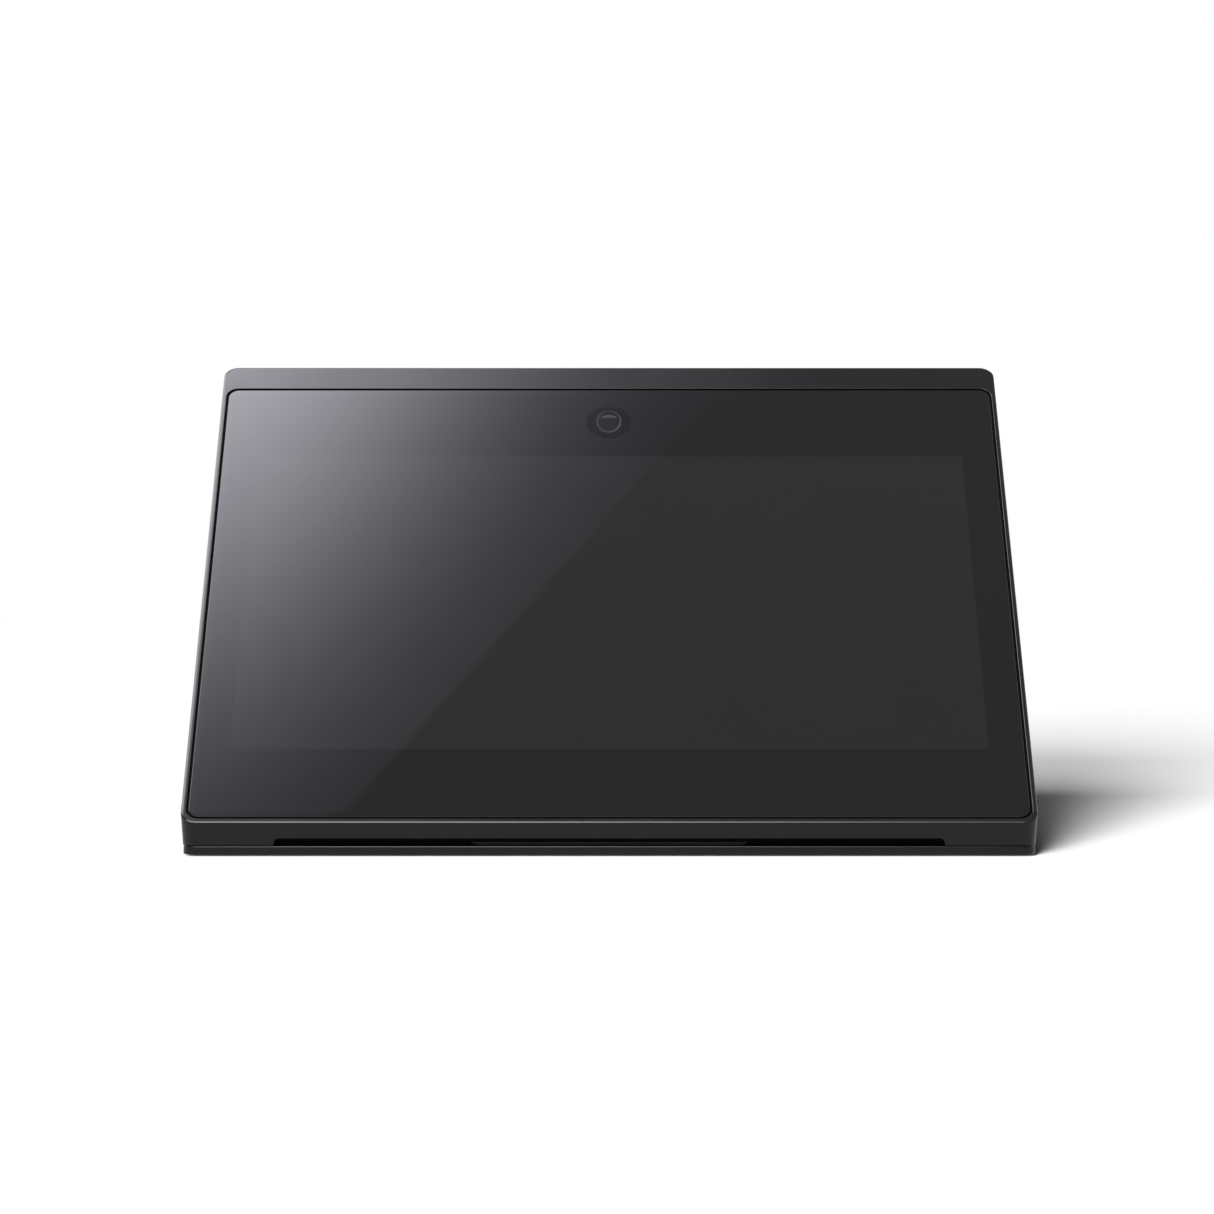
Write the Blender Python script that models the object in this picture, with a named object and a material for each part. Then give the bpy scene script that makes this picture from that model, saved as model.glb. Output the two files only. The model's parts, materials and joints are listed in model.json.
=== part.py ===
"""A wedge-shaped smart display, modelled as the separate pieces that it is assembled from.

Metres, +Z up, +X to the right of someone facing the screen, which looks towards -Y. The origin is on the
table, under the middle of the footprint. The pieces behind the glass are placed in the display frame: its
origin is the middle of the sloping face's lower edge, X runs along that edge, Y runs up the slope and Z points
out of the glass.
"""

import math

import bmesh
import bpy
from mathutils import Matrix, Vector

# Driving dimensions
WIDTH = 0.383
DEPTH = 0.232
HEIGHT = 0.231
TILT = math.radians(45)
GAP = 0.0003  # clearance between neighbouring pieces

# Outer form
EDGE_Z = 0.0156  # height of the sloping face's lower edge
FLOOR_Z = 0.0049  # underside of the bezel and the shell
LIP_RUN = 0.007  # how far the lip under the face leans back
FACE_CORNER = 0.007
FACE_CHAMFER = 0.0005
BACK_FILLET = 0.006
WALL = 0.0025
BACK_WALL = 0.0027

# Bezel
BEZEL_DEPTH = 0.005
BEZEL_FOOT = 0.009  # thickness of the lip at its foot
LIP_WALL = 0.0032
WINDOW_HALF_WIDTH = 0.1895
WINDOW_LOW = 0.0025
WINDOW_HIGH = 0.2892
WINDOW_DEPTH = 0.0034
SLOT_HALF_WIDTH = 0.1501
SLOT_TOP_Z = 0.0082

# Screen stack, as distances behind the sloping face
GLASS_GAP = 0.0013
GLASS_FRONT = 0.0002
GLASS_BACK = 0.0020
PANEL_HALF_WIDTH = 0.1753
PANEL_LOW = 0.0396
PANEL_HIGH = 0.2448
PANEL_FRONT = 0.0023
PANEL_BACK = 0.0036
GUIDE_BACK = 0.0060
TRAY_BACK = 0.0074
TRAY_RIM = 0.0029
TRAY_WALL = 0.0012
PLATE_FRONT = 0.0077
PLATE_BACK = 0.0092
PLATE_HALF_WIDTH = 0.186
PLATE_LOW = 0.014
PLATE_HIGH = 0.249

# Camera, which looks out between the face's normal and the horizon
CAMERA_UP = 0.2645  # middle of its window
CAMERA_AXIS_UP = 0.2706  # middle of the lens, further up so that it shows in the window from in front
CAMERA_DEPTH = 0.0052
CAMERA_TURN = math.radians(23)
HOOD_LEAN = 0.9  # how far the hood leans up the slope, per depth

# Rear cover and its port recess
COVER_HALF_WIDTH = 0.1821
COVER_LOW = 0.0139
COVER_HIGH = 0.2221
COVER_FRONT = 0.1132
COVER_BACK = 0.1157
PORT_LEFT, PORT_RIGHT = 0.022, 0.108
PORT_LOW, PORT_HIGH = 0.019, 0.040
PORT_FLOOR = 0.1052
PORT_WALL = 0.002
REAR_SCREW_X = 0.1755
REAR_SCREW_Z = (0.032, 0.204)
REAR_BOSS_FRONT = 0.098
BASE_BOSS_TOP = 0.015
SCREW_HOLE = 0.00145  # radius

# Base plate and feet
BASE_LOW, BASE_HIGH = 0.0008, 0.0046
BASE_CORNER = 0.007
BASE_SCREWS = ((-0.175, -0.072), (0.175, -0.072), (-0.175, 0.095), (0.175, 0.095))
FEET = ((-0.150, -0.092), (0.150, -0.092), (-0.150, 0.100), (0.150, 0.100))
FOOT_LENGTH, FOOT_WIDTH = 0.034, 0.009

# Boards
BOARD_LOW, BOARD_HIGH = 0.024, 0.0256
MAIN_BOARD = (-0.030, 0.140, 0.012, 0.100)  # low and high x, low and high y
POWER_BOARD = (-0.140, -0.045, 0.020, 0.095)
BOARD_PIN_INSET = 0.008
CHIP_AT = (0.060, 0.060)  # x and y
CHIP_HEIGHT = 0.002

# Controls, in a column on the right side
CONTROL_Y = 0.096
CONTROL_FACE = 0.1905  # x of the recess's floor
POWER_Z, VOLUME_UP_Z, VOLUME_DOWN_Z, SWITCH_Z = 0.170, 0.148, 0.130, 0.106
SWITCH_TRAVEL = 0.006
BUTTON_BOARD_X = 0.181
BUTTON_BOARD_THICK = 0.0014
CAP_PROUD = 0.0006
CAP_FLANGE = 0.0014  # thickness
STEM_END = -0.0042

# Speakers
WOOFER_Z = 0.130
WOOFER_BOX_FRONT, WOOFER_BOX_BACK = 0.070, 0.108
WOOFER_BOX_HALF = 0.050
SPEAKER_X = 0.105
SPEAKER_Z = 0.022
SPEAKER_BOX_FRONT, SPEAKER_BOX_BACK = -0.078, -0.038
SPEAKER_BOX_LOW, SPEAKER_BOX_HIGH = 0.0077, 0.036
SPEAKER_BOX_HALF = 0.043
SPEAKER_SCALE = 0.34  # of the woofer

# Facets
CORNER_STEPS = 4
ROUND_STEPS = 16
SMALL_STEPS = 8

COS = math.cos(TILT)
HALF = WIDTH / 2
LIP_DROP = EDGE_Z - FLOOR_Z
# How far the lip rises up the slope, per depth behind the face
FOOT_SLOPE = (LIP_RUN - LIP_DROP) / (LIP_RUN + LIP_DROP)
# The sharp lower edge, which the chamfer takes off
FRONT = -DEPTH / 2 - FACE_CHAMFER * COS * (1 + FOOT_SLOPE)
BACK = DEPTH / 2
SLOPE = (HEIGHT - EDGE_Z) / COS
OUT = 0.02  # how far a cutter runs past the solid it cuts


# Outlines: lists of (x, y) points, anticlockwise


def outline(half_width, low, high, low_corner, high_corner=None, steps=CORNER_STEPS):
    """A rectangle symmetric about Y with elliptic corners, each given by its radii along x and y."""
    high_corner = high_corner or low_corner
    corners = (
        (-1, 1, low, 1, low_corner),
        (0, 1, high, -1, high_corner),
        (1, -1, high, -1, high_corner),
        (2, -1, low, 1, low_corner),
    )
    points = []
    for quarter, side, level, inward, (across, up) in corners:
        for step in range(steps + 1):
            angle = (quarter + step / steps) * math.pi / 2
            x = side * (half_width - across) + across * math.cos(angle)
            points.append((x, level + inward * up + up * math.sin(angle)))
    return points


def rounded(half_width, low, high, radius, steps=CORNER_STEPS):
    return outline(half_width, low, high, (radius, radius), steps=steps)


def rectangle(low_x, high_x, low_y, high_y):
    return [(low_x, low_y), (high_x, low_y), (high_x, high_y), (low_x, high_y)]


def circle(radius, x=0.0, y=0.0, steps=SMALL_STEPS):
    angles = [2 * math.pi * step / steps for step in range(steps)]
    return [(x + radius * math.cos(angle), y + radius * math.sin(angle)) for angle in angles]


def pill(x, y, width, height, steps=2):
    """A rectangle with round ends about (x, y)."""
    radius = min(width, height) / 2
    return [(x + across, y + up) for across, up in rounded(width / 2, -height / 2, height / 2, radius, steps)]


# Shapes: pairs of points and faces that bound one or more closed solids


def loft(rings):
    """A solid through rings of points that all have the same number of points."""
    count = len(rings[0])
    points = [point for ring in rings for point in ring]
    faces = [tuple(reversed(range(count))), tuple(range(len(points) - count, len(points)))]
    for start in range(0, len(points) - count, count):
        for i in range(count):
            j = (i + 1) % count
            faces.append((start + i, start + j, start + count + j, start + count + i))
    return points, faces


def raised(points, z):
    return [(x, y, z) for x, y in points]


def prism(points, low, high):
    return loft([raised(points, low), raised(points, high)])


def stepped(*levels):
    """A solid whose outline changes with height: each level is an outline and its z."""
    return loft([raised(points, z) for points, z in levels])


def box(low_x, high_x, low_y, high_y, low_z, high_z):
    return prism(rectangle(low_x, high_x, low_y, high_y), low_z, high_z)


def turned(profile, steps=ROUND_STEPS):
    """(radius, z) points turned about Z: a solid if both ends are on the axis, and otherwise a ring."""
    points, rings = [], []
    for radius, z in profile:
        count = steps if radius else 1
        rings.append([len(points) + i for i in range(count)])
        points += [(x, y, z) for x, y in circle(radius, steps=count)]
    solid = profile[0][0] == 0 and profile[-1][0] == 0
    faces = []
    for low, high in zip(rings, rings[1:] if solid else rings[1:] + rings[:1]):
        for i in range(steps):
            a, b = low[i % len(low)], low[(i + 1) % len(low)]
            c, d = high[(i + 1) % len(high)], high[i % len(high)]
            faces.append(tuple(dict.fromkeys((a, b, c, d))))
    return points, faces


def hull(points):
    mesh = bmesh.new()
    for point in points:
        mesh.verts.new(point)
    bmesh.ops.remove_doubles(mesh, verts=mesh.verts, dist=1e-6)
    made = bmesh.ops.convex_hull(mesh, input=mesh.verts)
    unused = {item for key in ("geom_interior", "geom_unused") for item in made[key]}
    inside = [item for item in unused if isinstance(item, bmesh.types.BMVert)]
    bmesh.ops.delete(mesh, geom=inside, context="VERTS")
    mesh.verts.index_update()
    points = [tuple(vert.co) for vert in mesh.verts]
    faces = [tuple(vert.index for vert in face.verts) for face in mesh.faces]
    mesh.free()
    return points, faces


def along_x(shape):
    """The shape with its Z direction laid along X, so that its outline was given as (y, z)."""
    return [(z, x, y) for x, y, z in shape[0]], shape[1]


def along_y(shape):
    """The shape with its Z direction laid along Y, so that its outline was given as (x, z)."""
    return [(x, z, y) for x, y, z in shape[0]], shape[1]


def placed(shape, matrix):
    return [tuple(matrix @ Vector(point)) for point in shape[0]], shape[1]


def shifted(shape, x=0.0, y=0.0, z=0.0):
    return placed(shape, Matrix.Translation((x, y, z)))


def merged(*shapes):
    """Several shapes, which don't touch each other, as one."""
    points, faces = [], []
    for shape in shapes:
        faces += [tuple(i + len(points) for i in face) for face in shape[1]]
        points += shape[0]
    return points, faces


def band(route, half_thickness):
    """The outline of a strip that is seen edge on and follows a route of 2-D points."""
    sides = ([], [])
    for i, point in enumerate(route):
        before, after = Vector(route[max(i - 1, 0)]), Vector(route[min(i + 1, len(route) - 1)])
        across = (after - before).normalized().orthogonal() * half_thickness
        sides[0].append(tuple(Vector(point) - across))
        sides[1].append(tuple(Vector(point) + across))
    return sides[0] + sides[1][::-1]


def smooth(route, steps=3):
    """Points on a smooth curve through a route's points."""
    padded = [route[0], *route, route[-1]]
    points = []
    for before, start, end, after in zip(padded, padded[1:], padded[2:], padded[3:]):
        before, start, end, after = map(Vector, (before, start, end, after))
        for step in range(steps):
            t = step / steps
            linear = (end - before) * t / 2
            square = (2 * before - 5 * start + 4 * end - after) * t * t / 2
            cubic = (3 * (start - end) + after - before) * t**3 / 2
            points.append(tuple(start + linear + square + cubic))
    return points + [tuple(route[-1])]


# Objects


def clear_scene():
    for item in list(bpy.data.objects):
        bpy.data.objects.remove(item, do_unlink=True)


def make_material(name, colour, roughness, metallic=0.0):
    material = bpy.data.materials.new(name)
    material.use_nodes = True
    shader = material.node_tree.nodes["Principled BSDF"]
    shader.inputs["Base Color"].default_value = (*colour, 1.0)
    shader.inputs["Roughness"].default_value = roughness
    shader.inputs["Metallic"].default_value = metallic
    return material


def make_empty(name, location=(0, 0, 0), turn=(0, 0, 0), parent=None):
    empty = bpy.data.objects.new(name, None)
    empty.location, empty.rotation_euler, empty.parent = location, turn, parent
    bpy.context.scene.collection.objects.link(empty)
    return empty


def make_part(name, shape, material, location=(0, 0, 0), parent=None):
    """An object with the shape's mesh, in a frame whose origin is the location in the parent's frame."""
    mesh = bpy.data.meshes.new(name)
    mesh.from_pydata(shape[0], [], shape[1])
    work = bmesh.new()
    work.from_mesh(mesh)
    bmesh.ops.recalc_face_normals(work, faces=work.faces)
    work.to_mesh(mesh)
    work.free()
    if material:
        mesh.materials.append(material)
        mesh.shade_smooth()
        mesh.set_sharp_from_angle(angle=math.radians(35))
    part = bpy.data.objects.new(name, mesh)
    part.location, part.parent = location, parent
    bpy.context.scene.collection.objects.link(part)
    return part


def shape_with(part, operation, *shapes):
    """Adds a Boolean modifier to the part for each shape, which is given in the part's own frame."""
    for shape in shapes:
        name = f"{part.name} {operation.lower()} {len(part.modifiers) + 1}"
        helper = make_part(name, shape, None, parent=part)
        helper.hide_render = True
        helper.display_type = "WIRE"
        modifier = part.modifiers.new(helper.name, "BOOLEAN")
        modifier.operation = operation
        modifier.solver = "EXACT"
        modifier.object = helper
    return part


def cut(part, *shapes):
    return shape_with(part, "DIFFERENCE", *shapes)


def join(part, *shapes):
    return shape_with(part, "UNION", *shapes)


# The wedge and its two shells


def on_slope(up, depth=0.0):
    """World (y, z) of a point that is up the slope and depth behind the sloping face."""
    return FRONT + (up + depth) * COS, EDGE_Z + (up - depth) * COS


def face_ring(inset, depth):
    """The sloping face's outline at a depth, in world points. Its foot follows the lip."""
    flat = rounded(HALF - inset, depth * FOOT_SLOPE + inset, SLOPE + depth - inset, FACE_CORNER - inset)
    return [(x, *on_slope(up, depth)) for x, up in flat]


def wedge():
    """The outer form above the base plate: sloping face, leaning lip, level top and filleted back."""
    points = face_ring(FACE_CHAMFER, 0.0) + face_ring(0.0, FACE_CHAMFER)
    front_corner = (FACE_CORNER, FACE_CORNER * COS * (1 + LIP_RUN / LIP_DROP))
    back_corner = (BACK_FILLET, BACK_FILLET)
    points += raised(outline(HALF, FRONT + LIP_RUN, BACK, front_corner, back_corner), FLOOR_Z)
    top_corner = (FACE_CORNER, FACE_CORNER * COS)
    for step in range(CORNER_STEPS + 1):
        angle = step / CORNER_STEPS * math.pi / 2
        inset = BACK_FILLET * (1 - math.cos(angle))
        y = BACK - BACK_FILLET * (1 - math.sin(angle))
        ring = outline(HALF - inset, FLOOR_Z, HEIGHT - inset, (0, 0), top_corner)
        points += [(x, y, z) for x, z in ring]
    return hull(points)


def front_zone(depth, foot):
    """The bezel's share of the wedge: less than depth behind the face, with a lip foot thick at its foot."""
    foot_y = FRONT + LIP_RUN + foot
    plane = depth / COS + FRONT - EDGE_Z  # y - z on the plane that lies depth behind the face
    rise = (foot_y - FLOOR_Z - plane) / (LIP_RUN + LIP_DROP)
    knee = (foot_y - LIP_RUN * rise, FLOOR_Z + LIP_DROP * rise)
    under = (foot_y + LIP_RUN / LIP_DROP * OUT, FLOOR_Z - OUT)
    top = HEIGHT + OUT
    side = [under, knee, (top + plane, top), (FRONT - OUT, top), (FRONT - OUT, FLOOR_Z - OUT)]
    return along_x(prism(side, -HALF - OUT, HALF + OUT))


def build_front_bezel(metal, display):
    bezel = make_part("front_bezel", wedge(), metal)
    shape_with(bezel, "INTERSECT", front_zone(BEZEL_DEPTH, BEZEL_FOOT))
    window = rounded(WINDOW_HALF_WIDTH, WINDOW_LOW, WINDOW_HIGH, 0.006)
    ledge = rounded(0.180, 0.011, 0.282, 0.004)
    opening = stepped((ledge, -OUT), (ledge, -WINDOW_DEPTH), (window, -WINDOW_DEPTH), (window, OUT))
    lean = LIP_RUN / LIP_DROP
    ceiling = 0.0125
    inner_foot = FRONT + LIP_RUN + LIP_WALL
    pocket = [
        (inner_foot + lean * OUT, FLOOR_Z - OUT),
        (inner_foot + OUT, FLOOR_Z - OUT),
        (inner_foot + OUT, ceiling),
        (inner_foot - lean * (ceiling - FLOOR_Z), ceiling),
    ]
    slot = outline(SLOT_HALF_WIDTH, FLOOR_Z - OUT, SLOT_TOP_Z, (0, 0), (0.0024, 0.0026))
    cut(
        bezel,
        placed(opening, display),
        along_x(prism(pocket, -HALF + LIP_WALL, HALF - LIP_WALL)),
        along_y(prism(slot, FRONT - OUT, inner_foot + 0.001)),
    )


def build_main_shell(plastic):
    shell = make_part("main_shell", wedge(), plastic)
    cavity = rounded(HALF - WALL, FLOOR_Z + WALL, HEIGHT - WALL, 0.004)
    opening = rounded(COVER_HALF_WIDTH + 0.0004, COVER_LOW - 0.0004, COVER_HIGH + 0.0004, 0.004)
    inner_back = BACK - BACK_WALL
    hollow = along_y(
        stepped((cavity, FRONT - OUT), (cavity, inner_back), (opening, inner_back), (opening, BACK + OUT))
    )
    cut(shell, front_zone(BEZEL_DEPTH + GAP, BEZEL_FOOT + GAP), hollow)
    for added in (rear_bosses(), base_bosses(), board_posts(), button_posts()):
        join(shell, merged(*added))
    cut(shell, control_recess())
    for holes in (boss_holes(), control_holes(), microphone_holes()):
        cut(shell, merged(*holes))


def rear_bosses():
    """Blocks on the side walls that take the rear screws."""
    inner, outer, tall = REAR_SCREW_X - 0.0045, HALF - WALL + 0.0005, 0.010
    for z in REAR_SCREW_Z:
        for low_x, high_x in ((inner, outer), (-outer, -inner)):
            yield box(low_x, high_x, REAR_BOSS_FRONT, COVER_FRONT - GAP, z - tall / 2, z + tall / 2)


def base_bosses():
    """Round bosses on the floor that take the base screws."""
    for x, y in BASE_SCREWS:
        yield prism(circle(0.004, x, y), FLOOR_Z + WALL - 0.0004, BASE_BOSS_TOP)


def boss_holes():
    """Blind holes in the bosses: the rear ones from behind, and the base ones up through the floor."""
    roof = 0.0015
    for x, z in rear_screw_places():
        yield along_y(prism(circle(SCREW_HOLE, x, z), REAR_BOSS_FRONT + roof, COVER_FRONT + 0.001))
    for x, y in BASE_SCREWS:
        yield prism(circle(SCREW_HOLE, x, y), FLOOR_Z - OUT, BASE_BOSS_TOP - roof)


def board_pins(board):
    """Where a board's four locating pins stand, as (x, y)."""
    low_x, high_x, low_y, high_y = board
    inset = BOARD_PIN_INSET
    return [(x, y) for x in (low_x + inset, high_x - inset) for y in (low_y + inset, high_y - inset)]


def board_posts():
    """Posts on the floor that carry the two boards, with a pin through each board."""
    root, shoulder, tip = FLOOR_Z + WALL - 0.0004, BOARD_LOW - GAP, BOARD_HIGH + 0.001
    profile = [(0, root), (0.003, root), (0.003, shoulder), (0.0012, shoulder), (0.0012, tip), (0, tip)]
    for board in (MAIN_BOARD, POWER_BOARD):
        for x, y in board_pins(board):
            yield shifted(turned(profile, 10), x, y)


def button_posts():
    """Posts on the right wall that carry the button board."""
    radius, y, start, root = 0.002, 0.104, BUTTON_BOARD_X + BUTTON_BOARD_THICK + GAP, HALF - WALL + 0.0004
    for z in (0.118, 0.160):
        yield along_x(prism(circle(radius, y, z, 10), start, root))


def control_recess():
    return along_x(prism(pill(CONTROL_Y, 0.138, 0.013, 0.088), CONTROL_FACE, HALF + OUT))


def control_holes():
    low, high = HALF - WALL - 0.001, CONTROL_FACE + 0.001
    holes = [circle(0.0050, CONTROL_Y, POWER_Z, ROUND_STEPS)]
    holes += [pill(CONTROL_Y, z, 0.0058, 0.0128) for z in (VOLUME_UP_Z, VOLUME_DOWN_Z)]
    holes.append(pill(CONTROL_Y, SWITCH_Z, 0.0044, 0.013))
    return [along_x(prism(hole, low, high)) for hole in holes]


def microphone_holes():
    radius, y = 0.0006, 0.109
    return [prism(circle(radius, x, y), HEIGHT - WALL - 0.001, HEIGHT + OUT) for x in (-0.030, 0.030)]


# Screen stack, in the display frame


def build_cover_glass(glass, frame):
    half = WINDOW_HALF_WIDTH - GLASS_GAP + 0.0001
    low, high = WINDOW_LOW + GLASS_GAP, WINDOW_HIGH - GLASS_GAP - 0.0001
    bevel = 0.0002
    face = rounded(half - bevel, low + bevel, high - bevel, 0.005 - bevel)
    edge = rounded(half, low, high, 0.005)
    shape = stepped((edge, -GLASS_BACK), (edge, -GLASS_FRONT - bevel), (face, -GLASS_FRONT))
    make_part("cover_glass", shape, glass, parent=frame)


def build_glass_adhesive(foam, frame):
    low, high = -WINDOW_DEPTH + GAP, -GLASS_BACK - GAP
    outer = rounded(0.1875, 0.0046, 0.2870, 0.0045)
    inner = rounded(0.1810, 0.0120, 0.2810, 0.003)
    ring = make_part("glass_adhesive", prism(outer, low, high), foam, parent=frame)
    cut(ring, prism(inner, low - OUT, high + OUT))


def build_screen(panel_glass, acrylic, steel, frame):
    half, low, high = PANEL_HALF_WIDTH, PANEL_LOW, PANEL_HIGH
    panel = box(-half, half, low, high, -PANEL_BACK, -PANEL_FRONT)
    guide = box(-half, half, low, high, -GUIDE_BACK, -PANEL_BACK - GAP)
    make_part("lcd_panel", panel, panel_glass, parent=frame)
    make_part("light_guide", guide, acrylic, parent=frame)
    room = 0.0008
    outer = room + TRAY_WALL
    shape = box(-half - outer, half + outer, low - outer, high + outer, -TRAY_BACK, -TRAY_RIM)
    tray = make_part("backlight_tray", shape, steel, parent=frame)
    cut(tray, box(-half - room, half + room, low - room, high + room, -GUIDE_BACK - GAP, OUT))


def build_display_plate(steel, frame):
    """The stiff plate behind the screen, with lightening holes and a window for the ribbon."""
    shape = box(-PLATE_HALF_WIDTH, PLATE_HALF_WIDTH, PLATE_LOW, PLATE_HIGH, -PLATE_BACK, -PLATE_FRONT)
    plate = make_part("display_plate", shape, steel, parent=frame)
    pitch, hole_up, window_up = 0.060, 0.165, 0.065
    hole = rounded(0.024, -0.032, 0.032, 0.006, 3)
    holes = [[(x + i * pitch, y + hole_up) for x, y in hole] for i in range(-2, 3)]
    holes.append([(x, y + window_up) for x, y in rounded(0.030, -0.010, 0.010, 0.003, 3)])
    cut(plate, merged(*(prism(points, -OUT, OUT) for points in holes)))


def build_brackets(steel):
    """Brackets that carry the display plate on the floor: a web with a hole, and a flange at each seat."""
    web_inner, web_outer, flange_outer = 0.164, 0.166, 0.176  # x
    flange_inner = web_inner + 0.0005
    thick = 0.0015
    seat_low, seat_high = 0.060, 0.215  # up the slope
    foot_front, foot_back = -0.040, 0.070
    floor = FLOOR_Z + WALL + GAP
    front = PLATE_BACK + GAP
    low, high = on_slope(seat_low, front), on_slope(seat_high, front)
    web = [low, high, (0.054, 0.155), (foot_back, floor), (foot_front, floor)]
    hole = [(-0.036, 0.058), (0.036, 0.130), (0.050, 0.030), (-0.022, 0.030)]
    seat = [on_slope(seat_low, front + thick), low, high, on_slope(seat_high, front + thick)]
    foot = rectangle(foot_front + 0.0005, foot_back - 0.001, floor, floor + thick)
    for side, name in ((-1, "bracket_left"), (1, "bracket_right")):
        bracket = make_part(name, across(web, side * web_inner, side * web_outer), steel)
        join(bracket, *(across(flange, side * flange_inner, side * flange_outer) for flange in (seat, foot)))
        cut(bracket, across(hole, side * (web_inner - OUT), side * (web_outer + OUT / 4)))


def across(points, start, end):
    """A prism along X between two places, given in either order. Its outline is (y, z)."""
    return along_x(prism(points, min(start, end), max(start, end)))


# Camera


def build_camera_hood(matt_black, display):
    """A dark cone from the glass to the lens. It leans up the slope, along the line of sight from in front."""
    cone = turned([(0.0115, -0.0023), (0.0095, -0.0092), (0.0107, -0.0092), (0.0125, -0.0023)])
    leaning = [(x, y - HOOD_LEAN * z, z) for x, y, z in cone[0]], cone[1]
    make_part("camera_hood", leaning, matt_black, (0, CAMERA_UP, 0), display)


def build_camera(dark_metal, lens_glass, board_green, steel, frame):
    """The barrel, lens, board and bracket, in the camera's own frame, where it looks along Z."""
    face, body, flange = 0.0050, 0.0066, 0.0075  # radii
    front = [(0, -0.0016), (face, -0.0016), (face + 0.0006, 0), (body, 0)]
    back = [(body, -0.0050), (flange, -0.0050), (flange, -0.0090), (0, -0.0090)]
    make_part("camera_barrel", turned(front + back), dark_metal, parent=frame)
    rim, seat, bulge, steps = 0.0046, -0.0013, 0.0006, 4
    angles = [math.pi / 2 * step / steps for step in range(1, steps)]
    arc = [(rim * math.cos(angle), seat + bulge * (1 + math.sin(angle))) for angle in angles]
    dome = [(0, seat), (rim, seat), (rim, seat + bulge), *arc, (0, seat + 2 * bulge)]
    make_part("camera_lens", turned(dome), lens_glass, parent=frame)
    board, bracket_x, bracket_y = 0.009, 0.017, 0.013
    make_part("camera_board", box(-board, board, -board, board, -0.0105, -0.0093), board_green, parent=frame)
    shape = box(-bracket_x, bracket_x, -bracket_y, bracket_y, -0.0123, -0.0108)
    make_part("camera_bracket", shape, steel, parent=frame)


def build_ribbons(film):
    """Flat ribbons, seen edge on in the YZ plane, from the screen and the camera to the main board."""
    half_thickness = 0.0002
    landing = [(0.008, 0.0275), (0.019, 0.0264)]
    screen = [on_slope(0.072, 0.0080), on_slope(0.062, 0.0084), on_slope(0.059, 0.0130)]
    screen += [(-0.052, 0.038), (-0.022, 0.031), *landing]
    make_part("display_ribbon", along_x(prism(band(smooth(screen), half_thickness), -0.011, 0.011)), film)
    camera = [on_slope(0.262, 0.0176), on_slope(0.252, 0.0150)]
    camera += [on_slope(up, PLATE_BACK + 0.002) for up in (0.240, 0.090)]
    camera += [(-0.040, 0.046), (-0.020, 0.033), *landing]
    make_part("camera_ribbon", along_x(prism(band(smooth(camera), half_thickness), 0.020, 0.032)), film)


# Rear cover


def build_rear_cover(plastic):
    plate = rounded(COVER_HALF_WIDTH, COVER_LOW, COVER_HIGH, 0.0036)
    cover = make_part("rear_cover", along_y(prism(plate, COVER_FRONT, COVER_BACK)), plastic)
    wall = PORT_WALL
    tub = rectangle(PORT_LEFT - wall, PORT_RIGHT + wall, PORT_LOW - wall, PORT_HIGH + wall)
    recess = rectangle(PORT_LEFT, PORT_RIGHT, PORT_LOW, PORT_HIGH)
    join(cover, along_y(prism(tub, PORT_FLOOR - PORT_WALL, COVER_FRONT + 0.001)))
    cut(
        cover,
        along_y(prism(recess, PORT_FLOOR, BACK + OUT)),
        merged(*port_holes()),
        merged(*vent_slots()),
        merged(*grille_slits()),
        merged(*rear_screw_holes()),
    )


def port_holes():
    """Cut-outs for the three jacks in the recess's floor, each with clearance round its jack."""
    clear = 0.0004
    for x, (width, height) in JACKS.values():
        low = BOARD_HIGH + GAP
        edge = rectangle(x - width / 2 - clear, x + width / 2 + clear, low - clear, low + height + clear)
        yield along_y(prism(edge, PORT_FLOOR - PORT_WALL - 0.001, PORT_FLOOR + 0.001))


def vent_slots():
    count, pitch, width = 41, 0.006, 0.0024
    for i in range(count):
        x = (i - (count - 1) / 2) * pitch
        slot = rectangle(x - width / 2, x + width / 2, 0.196, 0.212)
        yield along_y(prism(slot, COVER_FRONT - 0.001, COVER_BACK + 0.001))


def grille_slits():
    """Level slits that fill a circle in front of the woofer."""
    radius, pitch, height = 0.034, 0.005, 0.0022
    for i in range(-6, 7):
        half = math.sqrt(radius**2 - (i * pitch) ** 2)
        z = WOOFER_Z + i * pitch - height / 2
        yield along_y(prism(rectangle(-half, half, z, z + height), COVER_FRONT - 0.001, COVER_BACK + 0.001))


def rear_screw_places():
    return [(side * REAR_SCREW_X, z) for z in REAR_SCREW_Z for side in (-1, 1)]


def rear_screw_holes():
    for x, z in rear_screw_places():
        narrow, wide = circle(SCREW_HOLE, x, z), circle(0.0030, x, z)
        seat = COVER_BACK - 0.0012
        levels = (narrow, COVER_FRONT - 0.001), (narrow, seat), (wide, seat), (wide, BACK + 0.002)
        yield along_y(stepped(*levels))


# Base plate and what stands on or under it


def build_base_plate(metal):
    half, front, back = HALF - GAP, FRONT + LIP_RUN + GAP, BACK - 0.0004
    top_inset, top_height, bottom = 0.0003, 0.0008, 0.0004
    levels = [(bottom, BASE_LOW), (0.0, BASE_LOW + bottom)]
    levels += [(0.0, BASE_HIGH - top_height), (top_inset, BASE_HIGH)]
    shape = stepped(*((rounded(half - i, front + i, back - i, BASE_CORNER - i), z) for i, z in levels))
    plate = make_part("base_plate", shape, metal)
    recess = BASE_LOW + 0.0009
    edge = 0.0006
    pockets = [prism(pill(x, y, FOOT_LENGTH + edge, FOOT_WIDTH + edge), -OUT, recess) for x, y in FEET]
    cut(plate, merged(*pockets), merged(*countersinks()))


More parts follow.
